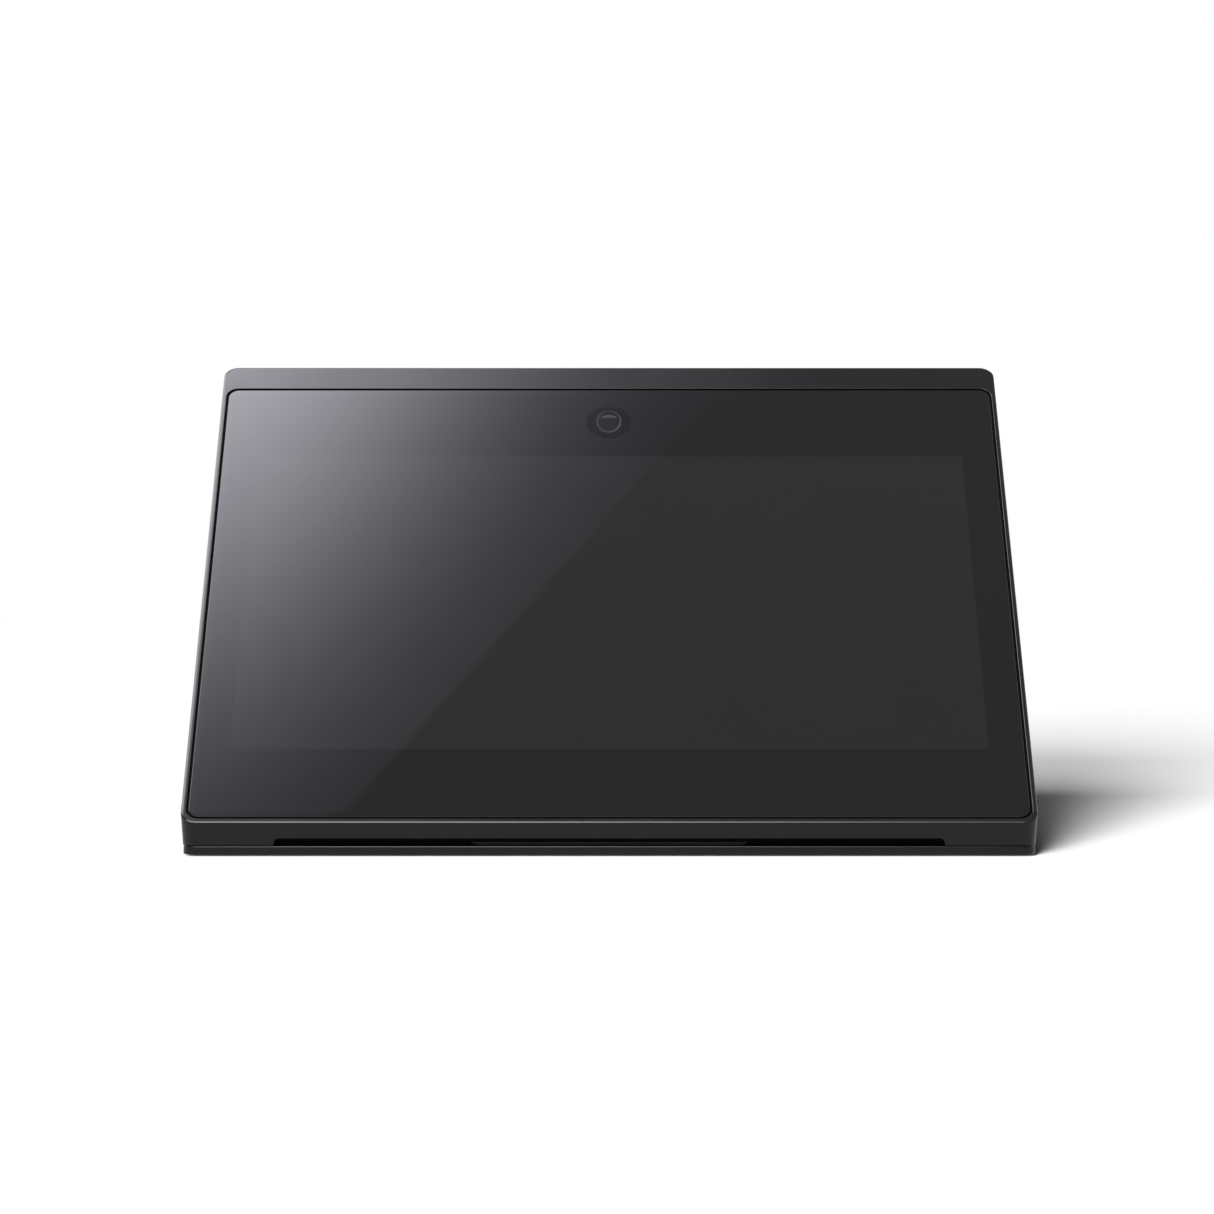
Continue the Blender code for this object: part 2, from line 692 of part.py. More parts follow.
def countersinks():
    for x, y in BASE_SCREWS:
        wide, narrow, neck = circle(0.0027, x, y), circle(SCREW_HOLE, x, y), 0.0022
        yield stepped((wide, -0.001), (wide, BASE_LOW + 0.0002), (narrow, neck), (narrow, BASE_HIGH + 0.001))


def build_slot_divider(matt_black):
    """The rib on the base plate that fills the lower half of the speaker slot's middle."""
    top = 0.0065
    side = [(-0.0593, FLOOR_Z), (0.0593, FLOOR_Z), (0.0624, top), (-0.0624, top)]
    back = FRONT + LIP_RUN + BEZEL_FOOT - LIP_RUN / LIP_DROP * (top - FLOOR_Z)
    make_part("slot_divider", along_y(prism(side, -0.1063, back)), matt_black)


def build_feet(rubber):
    bevel = 0.0004
    sides = ("left", "right")
    for i, (x, y) in enumerate(FEET):
        name = f"foot_{'front' if y < 0 else 'rear'}_{sides[i % 2]}"
        sole = pill(0, 0, FOOT_LENGTH - 2 * bevel, FOOT_WIDTH - 2 * bevel)
        body = pill(0, 0, FOOT_LENGTH, FOOT_WIDTH)
        make_part(name, stepped((sole, 0), (body, bevel), (body, 0.0014)), rubber, (x, y, 0))


# Fasteners


def build_screws(steel):
    socket, head, shank = 0.0010, 0.0026, 0.0011  # radii
    drive, cap, end = 0.0003, 0.0008, -0.0125
    profile = [(0, drive), (socket, drive), (socket, cap), (head, cap), (head, 0)]
    rear = turned([*profile, (shank, 0), (shank, end), (0, end)], SMALL_STEPS)
    rear_turned = [(x, z, -y) for x, y, z in rear[0]], rear[1]
    for i, (x, z) in enumerate(rear_screw_places()):
        make_part(f"rear_screw_{i + 1}", rear_turned, steel, (x, COVER_BACK - 0.0009, z))
    face, drive, neck, tip = 0.0010, 0.0016, 0.0024, 0.0120
    profile = [(0, drive), (socket, drive), (socket, face), (0.0023, face)]
    base = turned([*profile, (shank, neck), (shank, tip), (0, tip)], SMALL_STEPS)
    for i, (x, y) in enumerate(BASE_SCREWS):
        make_part(f"base_screw_{i + 1}", base, steel, (x, y, 0))


# Boards and jacks


def build_board(name, board, green):
    low_x, high_x, low_y, high_y = board
    part = make_part(name, box(low_x, high_x, low_y, high_y, BOARD_LOW, BOARD_HIGH), green)
    holes = [prism(circle(0.0016, x, y, 10), BOARD_LOW - OUT, BOARD_HIGH + OUT) for x, y in board_pins(board)]
    cut(part, merged(*holes))


def build_main_board_pieces(chip, aluminium, shield):
    seat = BOARD_HIGH + GAP
    make_part("soc_chip", box(-0.015, 0.015, -0.015, 0.015, 0, CHIP_HEIGHT), chip, (*CHIP_AT, seat))
    make_part("heat_sink", finned(), aluminium, (*CHIP_AT, seat + CHIP_HEIGHT + GAP))
    make_part("wireless_module", box(-0.011, 0.011, -0.015, 0.015, 0, 0.0024), shield, (0.001, 0.045, seat))


def finned():
    """A heat sink: a base with upright fins, as a comb outline that runs along Y."""
    half, length, base, height, count, fin = 0.030, 0.050, 0.003, 0.0198, 11, 0.0012
    pitch = (2 * half - fin) / (count - 1)
    comb = [(-half, 0), (half, 0), (half, height), (half - fin, height)]
    for i in reversed(range(1, count - 1)):
        left = -half + i * pitch
        comb += [(left + pitch, base), (left + fin, base), (left + fin, height), (left, height)]
    comb += [(-half + pitch, base), (-half + fin, base), (-half + fin, height), (-half, height)]
    return along_y(prism(comb, -length / 2, length / 2))


JACKS = {
    "dc_jack": (0.040, (0.009, 0.011)),
    "hdmi_jack": (0.060, (0.015, 0.006)),
    "usb_c_jack": (0.085, (0.0094, 0.0036)),
}


def jack_body(name, material, mouth, tongue):
    """A jack that stands on the main board and reaches through the port recess's floor."""
    x, (width, height) = JACKS[name]
    back = PORT_FLOOR + 0.0004
    depth = back - 0.092
    body = rectangle(-width / 2, width / 2, 0, height)
    jack = make_part(name, along_y(prism(body, -depth, 0)), material, (x, back, BOARD_HIGH + GAP))
    cut(jack, along_y(prism(mouth, -0.009, OUT)))
    join(jack, along_y(prism(tongue, -0.0095, -0.001)))


def build_jacks(shield, plastic):
    jack_body("dc_jack", plastic, circle(0.0029, 0, 0.0055, ROUND_STEPS), circle(0.0008, 0, 0.0055, 8))
    wide, narrow, low, shoulder, high = 0.0068, 0.0053, 0.0007, 0.0022, 0.0053
    mouth = [(-narrow, low), (narrow, low), (wide, shoulder), (wide, high), (-wide, high), (-wide, shoulder)]
    jack_body("hdmi_jack", shield, mouth, rectangle(-0.0050, 0.0050, 0.0030, 0.0040))
    mouth = pill(0, 0.0018, 0.0084, 0.0026)
    jack_body("usb_c_jack", shield, mouth, rectangle(-0.0032, 0.0032, 0.0015, 0.0021))


def build_aerials_and_microphones(film, green):
    for side, name in ((-1, "antenna_left"), (1, "antenna_right")):
        low, high = sorted((side * 0.130, side * 0.165))
        make_part(name, box(low, high, 0.108, 0.1088, 0.205, 0.217), film)
    roof = HEIGHT - WALL - GAP
    make_part("microphone_board", box(-0.040, 0.040, 0.105, 0.1128, roof - 0.0016, roof), green)


# Controls


def build_controls(button_black, switch_black, green):
    """Caps in the right side's recess. Each origin is on the recess's floor, where its cap comes through."""
    inside = HALF - WALL - 0.0006 - CONTROL_FACE  # outer face of the flange behind the wall
    bevel = 0.0003

    def control(name, material, z, stem_at, flange_at, cap_at, rim_at):
        levels = [(stem_at, STEM_END), (stem_at, inside - CAP_FLANGE), (flange_at, inside - CAP_FLANGE)]
        levels += [(flange_at, inside), (cap_at, inside), (cap_at, CAP_PROUD - bevel), (rim_at, CAP_PROUD)]
        make_part(name, along_x(stepped(*levels)), material, (CONTROL_FACE, CONTROL_Y, z))

    power = [circle(radius, steps=ROUND_STEPS) for radius in (0.0012, 0.0057, 0.0045, 0.0045 - bevel)]
    control("power_button", button_black, POWER_Z, *power)
    stem = pill(0, 0, 0.0024, 0.0024)
    volume = [stem, pill(0, 0, 0.0080, 0.0150), pill(0, 0, 0.0050, 0.0120)]
    volume.append(pill(0, 0, 0.0050 - 2 * bevel, 0.0120 - 2 * bevel))
    control("volume_up_button", button_black, VOLUME_UP_Z, *volume)
    control("volume_down_button", button_black, VOLUME_DOWN_Z, *volume)
    knob = [stem, pill(0, 0, 0.0080, 0.0196), pill(0, 0, 0.0036, 0.0050)]
    knob.append(pill(0, 0, 0.0036 - 2 * bevel, 0.0050 - 2 * bevel))
    control("privacy_switch", switch_black, SWITCH_Z + SWITCH_TRAVEL / 2, *knob)
    build_button_board(green)


def build_button_board(green):
    """The upright board behind the controls, with a small switch under each of them."""
    front, back, low, high = -0.010, 0.011, 0.092, 0.180
    board = box(0, BUTTON_BOARD_THICK, front, back, low, high)
    part = make_part("button_board", board, green, (BUTTON_BOARD_X, CONTROL_Y, 0))
    half, root, tall = 0.003, BUTTON_BOARD_THICK - 0.0004, 0.0044
    heights = (POWER_Z, VOLUME_UP_Z, VOLUME_DOWN_Z, SWITCH_Z)
    join(part, merged(*(box(root, tall, -half, half, z - half, z + half) for z in heights)))


# Speakers


def driver_frame(scale, steps):
    """A driver's basket and magnet as one bowl that faces along Z, with its flange's back just above zero."""
    bowl = [
        (0, -0.013),
        (0.014, -0.013),
        (0.0295, -0.0035),
        (0.0295, 0.0018),
        (0.038, 0.0018),
        (0.038, 0.0003),
        (0.032, 0.0003),
        (0.0315, -0.003),
        (0.021, -0.017),
        (0.021, -0.030),
        (0, -0.030),
    ]
    return turned([(radius * scale, z * scale) for radius, z in bowl], steps)


def driver_cone(scale, steps):
    """The moving shell: dome, cone and rolled surround."""
    thick = 0.001
    dome = [(0, -0.0060), (0.0055, -0.0070), (0.0095, -0.0099)]
    surround = [(0.0240, -0.0028), (0.0266, -0.0004), (0.0289, -0.0012)]
    front = dome + surround
    back = [(radius, z - thick) for radius, z in reversed(front)]
    return turned([(radius * scale, z * scale) for radius, z in front + back], steps)


def build_woofer(plastic, dark_metal, paper):
    half, wall, front, back = WOOFER_BOX_HALF, 0.002, WOOFER_BOX_FRONT, WOOFER_BOX_BACK
    low, high = WOOFER_Z - half, WOOFER_Z + half
    part = make_part("woofer_box", box(-half, half, front, back, low, high), plastic)
    inner = box(wall - half, half - wall, front + wall, back - wall, low + wall, high - wall)
    mouth = along_y(prism(circle(0.0340, 0, WOOFER_Z, ROUND_STEPS), back - 0.01, back + OUT))
    cut(part, inner, mouth)
    seat = make_empty("woofer_seat", (0, back, WOOFER_Z), (-math.pi / 2, 0, 0))
    steps = 20
    make_part("woofer_frame", driver_frame(1.0, steps), dark_metal, parent=seat)
    make_part("woofer_cone", driver_cone(1.0, steps), paper, parent=seat)


def build_speakers(plastic, dark_metal, paper):
    half, wall, steps = SPEAKER_BOX_HALF, 0.0018, 12
    front, back, low, high = SPEAKER_BOX_FRONT, SPEAKER_BOX_BACK, SPEAKER_BOX_LOW, SPEAKER_BOX_HIGH
    for side, name in ((-1, "left"), (1, "right")):
        centre = side * SPEAKER_X
        outer = box(-half, half, front, back, low, high)
        part = make_part(f"speaker_box_{name}", outer, plastic, (centre, 0, 0))
        inner = box(wall - half, half - wall, front + wall, back - wall, low + wall, high - wall)
        mouth = along_y(prism(circle(0.0114, 0, SPEAKER_Z, ROUND_STEPS), front - OUT, front + 0.008))
        cut(part, inner, mouth)
        seat = make_empty(f"speaker_seat_{name}", (centre, front - 0.0002, SPEAKER_Z), (math.pi / 2, 0, 0))
        make_part(f"speaker_frame_{name}", driver_frame(SPEAKER_SCALE, steps), dark_metal, parent=seat)
        make_part(f"speaker_cone_{name}", driver_cone(SPEAKER_SCALE, steps), paper, parent=seat)


def build_leads(rubber):
    """Leads from each speaker's box to the front edge of the main board."""
    level = BOARD_HIGH + GAP + 0.0012
    routes = {
        "speaker_lead_right": [(0.105, -0.0375, 0.028), (0.105, -0.030, 0.028), (0.112, -0.008, 0.030)]
        + [(0.114, 0.008, level), (0.114, 0.018, level)],
        "speaker_lead_left": [(-0.105, -0.0375, 0.028), (-0.105, -0.030, 0.028), (-0.086, -0.014, 0.029)]
        + [(-0.034, 0.001, 0.030), (-0.0165, 0.006, 0.030), (-0.0155, 0.030, level)],
    }
    for name, route in routes.items():
        make_tube(name, smooth(route), 0.0008, rubber)


def make_tube(name, route, radius, material):
    curve = bpy.data.curves.new(name, "CURVE")
    curve.dimensions = "3D"
    curve.bevel_depth = radius
    curve.bevel_resolution = 0
    curve.use_fill_caps = True
    spline = curve.splines.new("POLY")
    spline.points.add(len(route) - 1)
    for point, place in zip(spline.points, route):
        point.co = (*place, 1)
    curve.materials.append(material)
    tube = bpy.data.objects.new(name, curve)
    bpy.context.scene.collection.objects.link(tube)


def main():
    clear_scene()
    graphite = make_material("graphite metal", (0.045, 0.045, 0.050), 0.32, 0.6)
    shell_black = make_material("shell black", (0.022, 0.022, 0.024), 0.5)
    matt_black = make_material("matt black", (0.006, 0.006, 0.007), 0.7)
    button_black = make_material("button black", (0.030, 0.030, 0.033), 0.4)
    switch_black = make_material("switch black", (0.035, 0.035, 0.038), 0.45)
    glass = make_material("cover glass", (0.008, 0.008, 0.009), 0.06)
    lens_glass = make_material("lens glass", (0.010, 0.010, 0.014), 0.03)
    panel_glass = make_material("panel glass", (0.020, 0.020, 0.022), 0.2)
    acrylic = make_material("acrylic", (0.75, 0.76, 0.78), 0.2)
    foam = make_material("adhesive foam", (0.02, 0.02, 0.02), 0.9)
    steel = make_material("zinc steel", (0.55, 0.56, 0.57), 0.35, 1.0)
    dark_metal = make_material("dark metal", (0.05, 0.05, 0.055), 0.35, 0.8)
    aluminium = make_material("aluminium", (0.75, 0.76, 0.77), 0.4, 1.0)
    shield = make_material("tin shield", (0.65, 0.65, 0.66), 0.3, 1.0)
    green = make_material("board green", (0.02, 0.16, 0.07), 0.45)
    chip = make_material("chip black", (0.02, 0.02, 0.02), 0.6)
    film = make_material("ribbon film", (0.45, 0.24, 0.06), 0.4)
    rubber = make_material("rubber", (0.015, 0.015, 0.015), 0.85)
    paper = make_material("cone paper", (0.03, 0.03, 0.03), 0.8)

    display = make_empty("display_frame", (0, FRONT, EDGE_Z), (TILT, 0, 0))
    display_matrix = Matrix.Translation((0, FRONT, EDGE_Z)) @ Matrix.Rotation(TILT, 4, "X")
    camera = make_empty("camera_frame", (0, CAMERA_AXIS_UP, -CAMERA_DEPTH), (CAMERA_TURN, 0, 0), display)

    build_front_bezel(graphite, display_matrix)
    build_main_shell(shell_black)
    build_cover_glass(glass, display)
    build_glass_adhesive(foam, display)
    build_screen(panel_glass, acrylic, steel, display)
    build_display_plate(steel, display)
    build_brackets(steel)
    build_camera_hood(matt_black, display)
    build_camera(dark_metal, lens_glass, green, steel, camera)
    build_rear_cover(shell_black)
    build_base_plate(graphite)
    build_slot_divider(matt_black)
    build_feet(rubber)
    build_screws(dark_metal)
    build_board("mainboard", MAIN_BOARD, green)
    build_board("power_board", POWER_BOARD, green)
    build_main_board_pieces(chip, aluminium, shield)
    build_jacks(shield, shell_black)
    build_aerials_and_microphones(film, green)
    build_ribbons(film)
    build_controls(button_black, switch_black, green)
    build_woofer(shell_black, dark_metal, paper)
    build_speakers(shell_black, dark_metal, paper)
    build_leads(rubber)


main()
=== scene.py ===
"""The looks of a wedge-shaped smart display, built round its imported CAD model.

Metres and +Z up, in the CAD model's frame: the screen faces -Y, and the origin is on the table under the
middle of the footprint. The shells, glass, camera, sockets, controls, screws and feet are rebuilt with fine
edges. The other CAD pieces stay and get a material, and the plain ones get rounded edges.

The glass and the camera's hood are made in the display frame: its origin is the middle of the sloping face's
lower edge, X runs along it, Y runs up the slope and Z points out. The rest of the camera has its own frame.
"""

import json
import math

import bmesh
import bpy
from mathutils import Matrix, Vector


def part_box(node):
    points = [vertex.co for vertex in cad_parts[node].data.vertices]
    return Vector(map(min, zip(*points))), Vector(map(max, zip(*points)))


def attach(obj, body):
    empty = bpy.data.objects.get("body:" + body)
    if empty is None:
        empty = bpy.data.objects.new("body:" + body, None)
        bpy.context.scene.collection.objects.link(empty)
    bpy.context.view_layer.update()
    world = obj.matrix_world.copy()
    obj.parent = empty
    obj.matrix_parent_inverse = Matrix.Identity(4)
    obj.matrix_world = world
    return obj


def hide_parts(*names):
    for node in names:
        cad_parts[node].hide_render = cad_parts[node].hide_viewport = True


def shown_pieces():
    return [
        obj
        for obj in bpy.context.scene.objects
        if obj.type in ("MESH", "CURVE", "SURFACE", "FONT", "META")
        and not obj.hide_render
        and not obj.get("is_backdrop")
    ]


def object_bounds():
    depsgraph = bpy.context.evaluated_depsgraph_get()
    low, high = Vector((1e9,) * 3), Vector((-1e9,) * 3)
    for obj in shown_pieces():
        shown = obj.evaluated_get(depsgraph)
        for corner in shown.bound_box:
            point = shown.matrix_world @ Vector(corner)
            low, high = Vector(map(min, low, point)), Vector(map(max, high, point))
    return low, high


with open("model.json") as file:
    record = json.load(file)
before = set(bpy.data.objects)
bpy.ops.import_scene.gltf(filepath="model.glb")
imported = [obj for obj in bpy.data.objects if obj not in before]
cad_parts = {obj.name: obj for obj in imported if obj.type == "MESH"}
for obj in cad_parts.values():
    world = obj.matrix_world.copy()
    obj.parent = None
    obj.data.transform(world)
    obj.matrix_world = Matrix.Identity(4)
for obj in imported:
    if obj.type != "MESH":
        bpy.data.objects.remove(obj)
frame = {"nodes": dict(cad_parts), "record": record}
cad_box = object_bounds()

# Overall form, from the frame
shell_low, shell_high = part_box("main_shell")
HALF = shell_high.x
HEIGHT = shell_high.z
BACK = shell_high.y
DEPTH = BACK - cad_box[0].y
FLOOR_Z = shell_low.z
TILT = math.radians(45)
GAP = 0.0003

EDGE_Z = 0.0156  # height of the sloping face's lower edge
LIP_RUN = 0.007  # how far the lip under the face leans back
FACE_CORNER = 0.007
FACE_CHAMFER = 0.0005  # of the CAD face, whose sharp edge would stand in front of the CAD box
EDGE_ROUND, EDGE_DROP = 0.0013, 0.0005  # width and depth of the rounding along the face's foot
SIDE_SHARE, HEAD_SHARE = 1.15, 0.25  # of that width, along the sides and the head
EDGE_STEPS = 6
BACK_FILLET = 0.006
WALL = 0.0025
BACK_WALL = 0.0027

# Bezel
BEZEL_DEPTH = 0.005  # behind the sloping face
BEZEL_FOOT = 0.009  # how far the bezel reaches back under the lip
LIP_WALL = 0.0032
WINDOW_HALF_WIDTH = 0.1894
WINDOW_LOW = 0.0025
WINDOW_HIGH = 0.2892
WINDOW_DEPTH = 0.0034
WINDOW_CORNER = 0.006
LEDGE_HALF_WIDTH, LEDGE_LOW, LEDGE_HIGH, LEDGE_CORNER = 0.180, 0.011, 0.280, 0.004
SLOT_HALF_WIDTH = 0.1501
SLOT_TOP_Z = 0.0082
SLOT_CORNER = (0.0024, 0.0026)

# Glass and camera: FRONT, BACK and DEPTH are behind the sloping face, and LOW, HIGH and UP are up the slope
GLASS_SIDE_GAP, GLASS_END_GAP = 0.0012, 0.0011  # to the window, along the sides and along the head and foot
GLASS_FRONT = 0.0002
GLASS_BACK = 0.0020
GLASS_CORNER = 0.005
PICTURE_HALF_WIDTH = 0.1721
PICTURE_LOW, PICTURE_HIGH = 0.0450, 0.2398
CAMERA_UP = 0.2645
CAMERA_AXIS_UP = 0.2706
CAMERA_DEPTH = 0.0052
CAMERA_TURN = math.radians(23)
CAMERA_WINDOW = 0.0113  # radius
HOOD_LEAN = 0.9  # up the slope, for each metre back

# Rear cover
COVER_FRONT = 0.1132
COVER_BACK = 0.1157
COVER_HALF_WIDTH = 0.1821
COVER_LOW, COVER_HIGH = 0.0139, 0.2221
PORT_LEFT, PORT_RIGHT = 0.022, 0.108
PORT_LOW, PORT_HIGH = 0.019, 0.040
PORT_CORNER = 0.0012
PORT_FLOOR = 0.1052
PORT_WALL = 0.002
REAR_SCREW_X = 0.1755
REAR_SCREW_Z = (0.032, 0.204)
SCREW_HOLE = 0.00145  # radius
WOOFER_Z = 0.130

FEET = [f"{end}_{side}" for end in ("front", "rear") for side in ("left", "right")]

# Microphone holes in the top
MICROPHONE_X, MICROPHONE_Y = (-0.030, 0.030), 0.109
MICROPHONE_HOLE = 0.0006  # radius

# Controls on the right side
CONTROL_Y = 0.096
CONTROL_FACE = 0.1905
RECESS_Z, RECESS_WIDTH, RECESS_HEIGHT = 0.138, 0.013, 0.088
POWER_Z, VOLUME_UP_Z, VOLUME_DOWN_Z, SWITCH_Z = 0.170, 0.148, 0.130, 0.106
POWER_HOLE = 0.0050  # radius
VOLUME_HOLE, SWITCH_HOLE = (0.0058, 0.0128), (0.0044, 0.013)  # width and height
SWITCH_TRAVEL = 0.006
CAP_PROUD = 0.0006
CAP_DISH = 0.00013  # how far a cap's middle lies under its rim

# Steps of a quarter turn, and of a whole turn on large and on small rounds
ARC_STEPS = 10
ROUND_STEPS = 64
SMALL_STEPS = 32

COS = math.cos(TILT)
LIP_DROP = EDGE_Z - FLOOR_Z
FOOT_SLOPE = (LIP_RUN - LIP_DROP) / (LIP_RUN + LIP_DROP)
FRONT = -DEPTH / 2 - FACE_CHAMFER * COS * (1 + FOOT_SLOPE)
SLOPE = (HEIGHT - EDGE_Z) / COS
OUT = 0.02  # how far a cutter runs past what it cuts

DISPLAY = Matrix.Translation((0, FRONT, EDGE_Z)) @ Matrix.Rotation(TILT, 4, "X")
CAMERA = DISPLAY @ Matrix.Translation((0, CAMERA_AXIS_UP, -CAMERA_DEPTH))
CAMERA = CAMERA @ Matrix.Rotation(CAMERA_TURN, 4, "X")


def middle_of(low, high):
    return [(a + b) / 2 for a, b in zip(low, high)]


# Outlines: lists of (x, y) points, anticlockwise


def outline(half_width, low, high, low_corner, high_corner=None, steps=ARC_STEPS):
    """A rectangle symmetric about Y with elliptic corners, each given by its radii along x and y."""
    high_corner = high_corner or low_corner
    corners = (
        (-1, 1, low, 1, low_corner),
        (0, 1, high, -1, high_corner),
        (1, -1, high, -1, high_corner),
        (2, -1, low, 1, low_corner),
    )
    points = []
    for quarter, side, level, inward, (across, up) in corners:
        for step in range(steps + 1):
            angle = (quarter + step / steps) * math.pi / 2
            x = side * (half_width - across) + across * math.cos(angle)
            points.append((x, level + inward * up + up * math.sin(angle)))
    return points


def rounded(half_width, low, high, radius, steps=ARC_STEPS):
    return outline(half_width, low, high, (radius, radius), steps=steps)


def rounded_box(low_x, high_x, low_y, high_y, radius):
    middle, steps = (low_x + high_x) / 2, 4
    return [(x + middle, y) for x, y in rounded((high_x - low_x) / 2, low_y, high_y, radius, steps)]


def circle(radius, x=0.0, y=0.0, steps=ROUND_STEPS):
    angles = [2 * math.pi * step / steps for step in range(steps)]
    return [(x + radius * math.cos(angle), y + radius * math.sin(angle)) for angle in angles]


def quarter_round(steps):
    """How far a rounded edge lies in from its side and down from its top, as shares of its radius."""
    angles = [step / steps * math.pi / 2 for step in range(steps + 1)]
    return [(1 - math.cos(angle), 1 - math.sin(angle)) for angle in angles]


def pill(x, y, width, height, steps=8):
    """A rectangle with round ends about (x, y)."""
    radius = min(width, height) / 2
    return [(x + across, y + up) for across, up in rounded(width / 2, -height / 2, height / 2, radius, steps)]


def lobed(radius, depth):
    """A wavy circle, as in a screw's six-lobed drive."""
    lobes, steps = 6, 36
    points = []
    for step in range(steps):
        angle = 2 * math.pi * step / steps
        reach = radius + depth * math.cos(lobes * angle)
        points.append((reach * math.cos(angle), reach * math.sin(angle)))
    return points


# Shapes: pairs of points and faces


def loft(rings, closed=True):
    """A surface through rings that all have as many points, with its ends filled if closed."""
    count = len(rings[0])
    points = [point for ring in rings for point in ring]
    faces = []
    if closed:
        faces = [tuple(reversed(range(count))), tuple(range(len(points) - count, len(points)))]
    for start in range(0, len(points) - count, count):
        for i in range(count):
            j = (i + 1) % count
            faces.append((start + i, start + j, start + count + j, start + count + i))
    return points, faces


def raised(points, z):
    return [(x, y, z) for x, y in points]


def stepped(*levels):
    """A solid whose outline changes with height: each level is an outline and its z."""
    return loft([raised(points, z) for points, z in levels])


def prism(points, low, high):
    return stepped((points, low), (points, high))


def box(low_x, high_x, low_y, high_y, low_z, high_z):
    return prism([(low_x, low_y), (high_x, low_y), (high_x, high_y), (low_x, high_y)], low_z, high_z)


def turned(profile, steps=ROUND_STEPS):
    """(radius, z) points turned about Z: a solid if they start and end on the axis, and otherwise a ring."""
    points, rings = [], []
    for radius, z in profile:
        count = steps if radius else 1
        rings.append([len(points) + i for i in range(count)])
        points += [(x, y, z) for x, y in circle(radius, steps=count)]
    solid = profile[0][0] == 0 and profile[-1][0] == 0
    faces = []
    for low, high in zip(rings, rings[1:] if solid else rings[1:] + rings[:1]):
        for i in range(steps):
            a, b = low[i % len(low)], low[(i + 1) % len(low)]
            c, d = high[(i + 1) % len(high)], high[i % len(high)]
            faces.append(tuple(dict.fromkeys((a, b, c, d))))
    return points, faces


def hull(points):
    """The convex shape round the points, with its flat parts as single faces."""
    mesh = bmesh.new()
    for point in points:
        mesh.verts.new(point)
    bmesh.ops.remove_doubles(mesh, verts=mesh.verts, dist=1e-6)
    made = bmesh.ops.convex_hull(mesh, input=mesh.verts)
    unused = {item for key in ("geom_interior", "geom_unused") for item in made[key]}
    inner = [item for item in unused if isinstance(item, bmesh.types.BMVert)]
    bmesh.ops.delete(mesh, geom=inner, context="VERTS")
    bmesh.ops.dissolve_limit(mesh, angle_limit=math.radians(0.05), verts=mesh.verts, edges=mesh.edges)
    mesh.verts.index_update()
    corners = [tuple(vert.co) for vert in mesh.verts]
    faces = [tuple(vert.index for vert in face.verts) for face in mesh.faces]
    mesh.free()
    return corners, faces


def along_x(shape):
    """The shape with its Z direction laid along X, so that its outline was given as (y, z)."""
    return [(z, x, y) for x, y, z in shape[0]], shape[1]


def along_y(shape):
    """The shape with its Z direction laid along Y, so that its outline was given as (x, z)."""
    return [(x, z, y) for x, y, z in shape[0]], shape[1]


def placed(shape, matrix):
    return [tuple(matrix @ Vector(point)) for point in shape[0]], shape[1]


def shifted(shape, x=0.0, y=0.0, z=0.0):
    return placed(shape, Matrix.Translation((x, y, z)))


def merged(*shapes):
    points, faces = [], []
    for shape in shapes:
        faces += [tuple(i + len(points) for i in face) for face in shape[1]]
        points += shape[0]
    return points, faces


# Objects


def mesh_object(name, shape, place=None):
    """An object with the shape, whose frame is the place if that is given."""
    mesh = bpy.data.meshes.new(name)
    mesh.from_pydata(shape[0], [], shape[1])
    work = bmesh.new()
    work.from_mesh(mesh)
    bmesh.ops.recalc_face_normals(work, faces=work.faces)
    work.to_mesh(mesh)
    work.free()
    made = bpy.data.objects.new(name, mesh)
    bpy.context.scene.collection.objects.link(made)
    if place:
        made.matrix_world = place
    return made


def applied(item):
    """The item with its modifiers, or its curve, made into a plain mesh."""
    bpy.context.view_layer.update()
    graph = bpy.context.evaluated_depsgraph_get()
    mesh = bpy.data.meshes.new_from_object(item.evaluated_get(graph))
    mesh.materials.clear()
    return mesh


def carved(name, shape, *changes):
    """An object with the shape, changed in turn by Booleans that are each an operation and another shape."""
    made = mesh_object(name, shape)
    helpers = []
    for operation, other in changes:
        helper = mesh_object(f"{name}_helper", other)
        modifier = made.modifiers.new("Boolean", "BOOLEAN")
        modifier.operation = operation
        modifier.object = helper
        helpers.append(helper)
    mesh = applied(made)
    made.modifiers.clear()
    made.data = mesh
    for helper in helpers:
        bpy.data.objects.remove(helper, do_unlink=True)
    return made


def even_normals(item):
    """Shades the item's flats flat, up to its rounded edges."""
    item.modifiers.new("Normals", "WEIGHTED_NORMAL").keep_sharp = True


def soften(item, width):
    """Rounds the item's sharp edges."""
    bevel = item.modifiers.new("Bevel", "BEVEL")
    bevel.width = width
    bevel.segments = 2
    bevel.limit_method = "ANGLE"
    bevel.angle_limit = math.radians(30)
    bevel.use_clamp_overlap = True
    even_normals(item)


def finish_piece(item, look, body="housing", replaces=(), sharp=35):
    """Gives the item its look and its body, and has it stand for the CAD nodes that it replaces."""
    item.data.materials.clear()
    item.data.materials.append(LOOKS[look])
    item.data.shade_smooth()
    item.data.set_sharp_from_angle(angle=math.radians(sharp))
    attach(item, body)
    if replaces:
        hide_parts(*([replaces] if isinstance(replaces, str) else replaces))
    return item


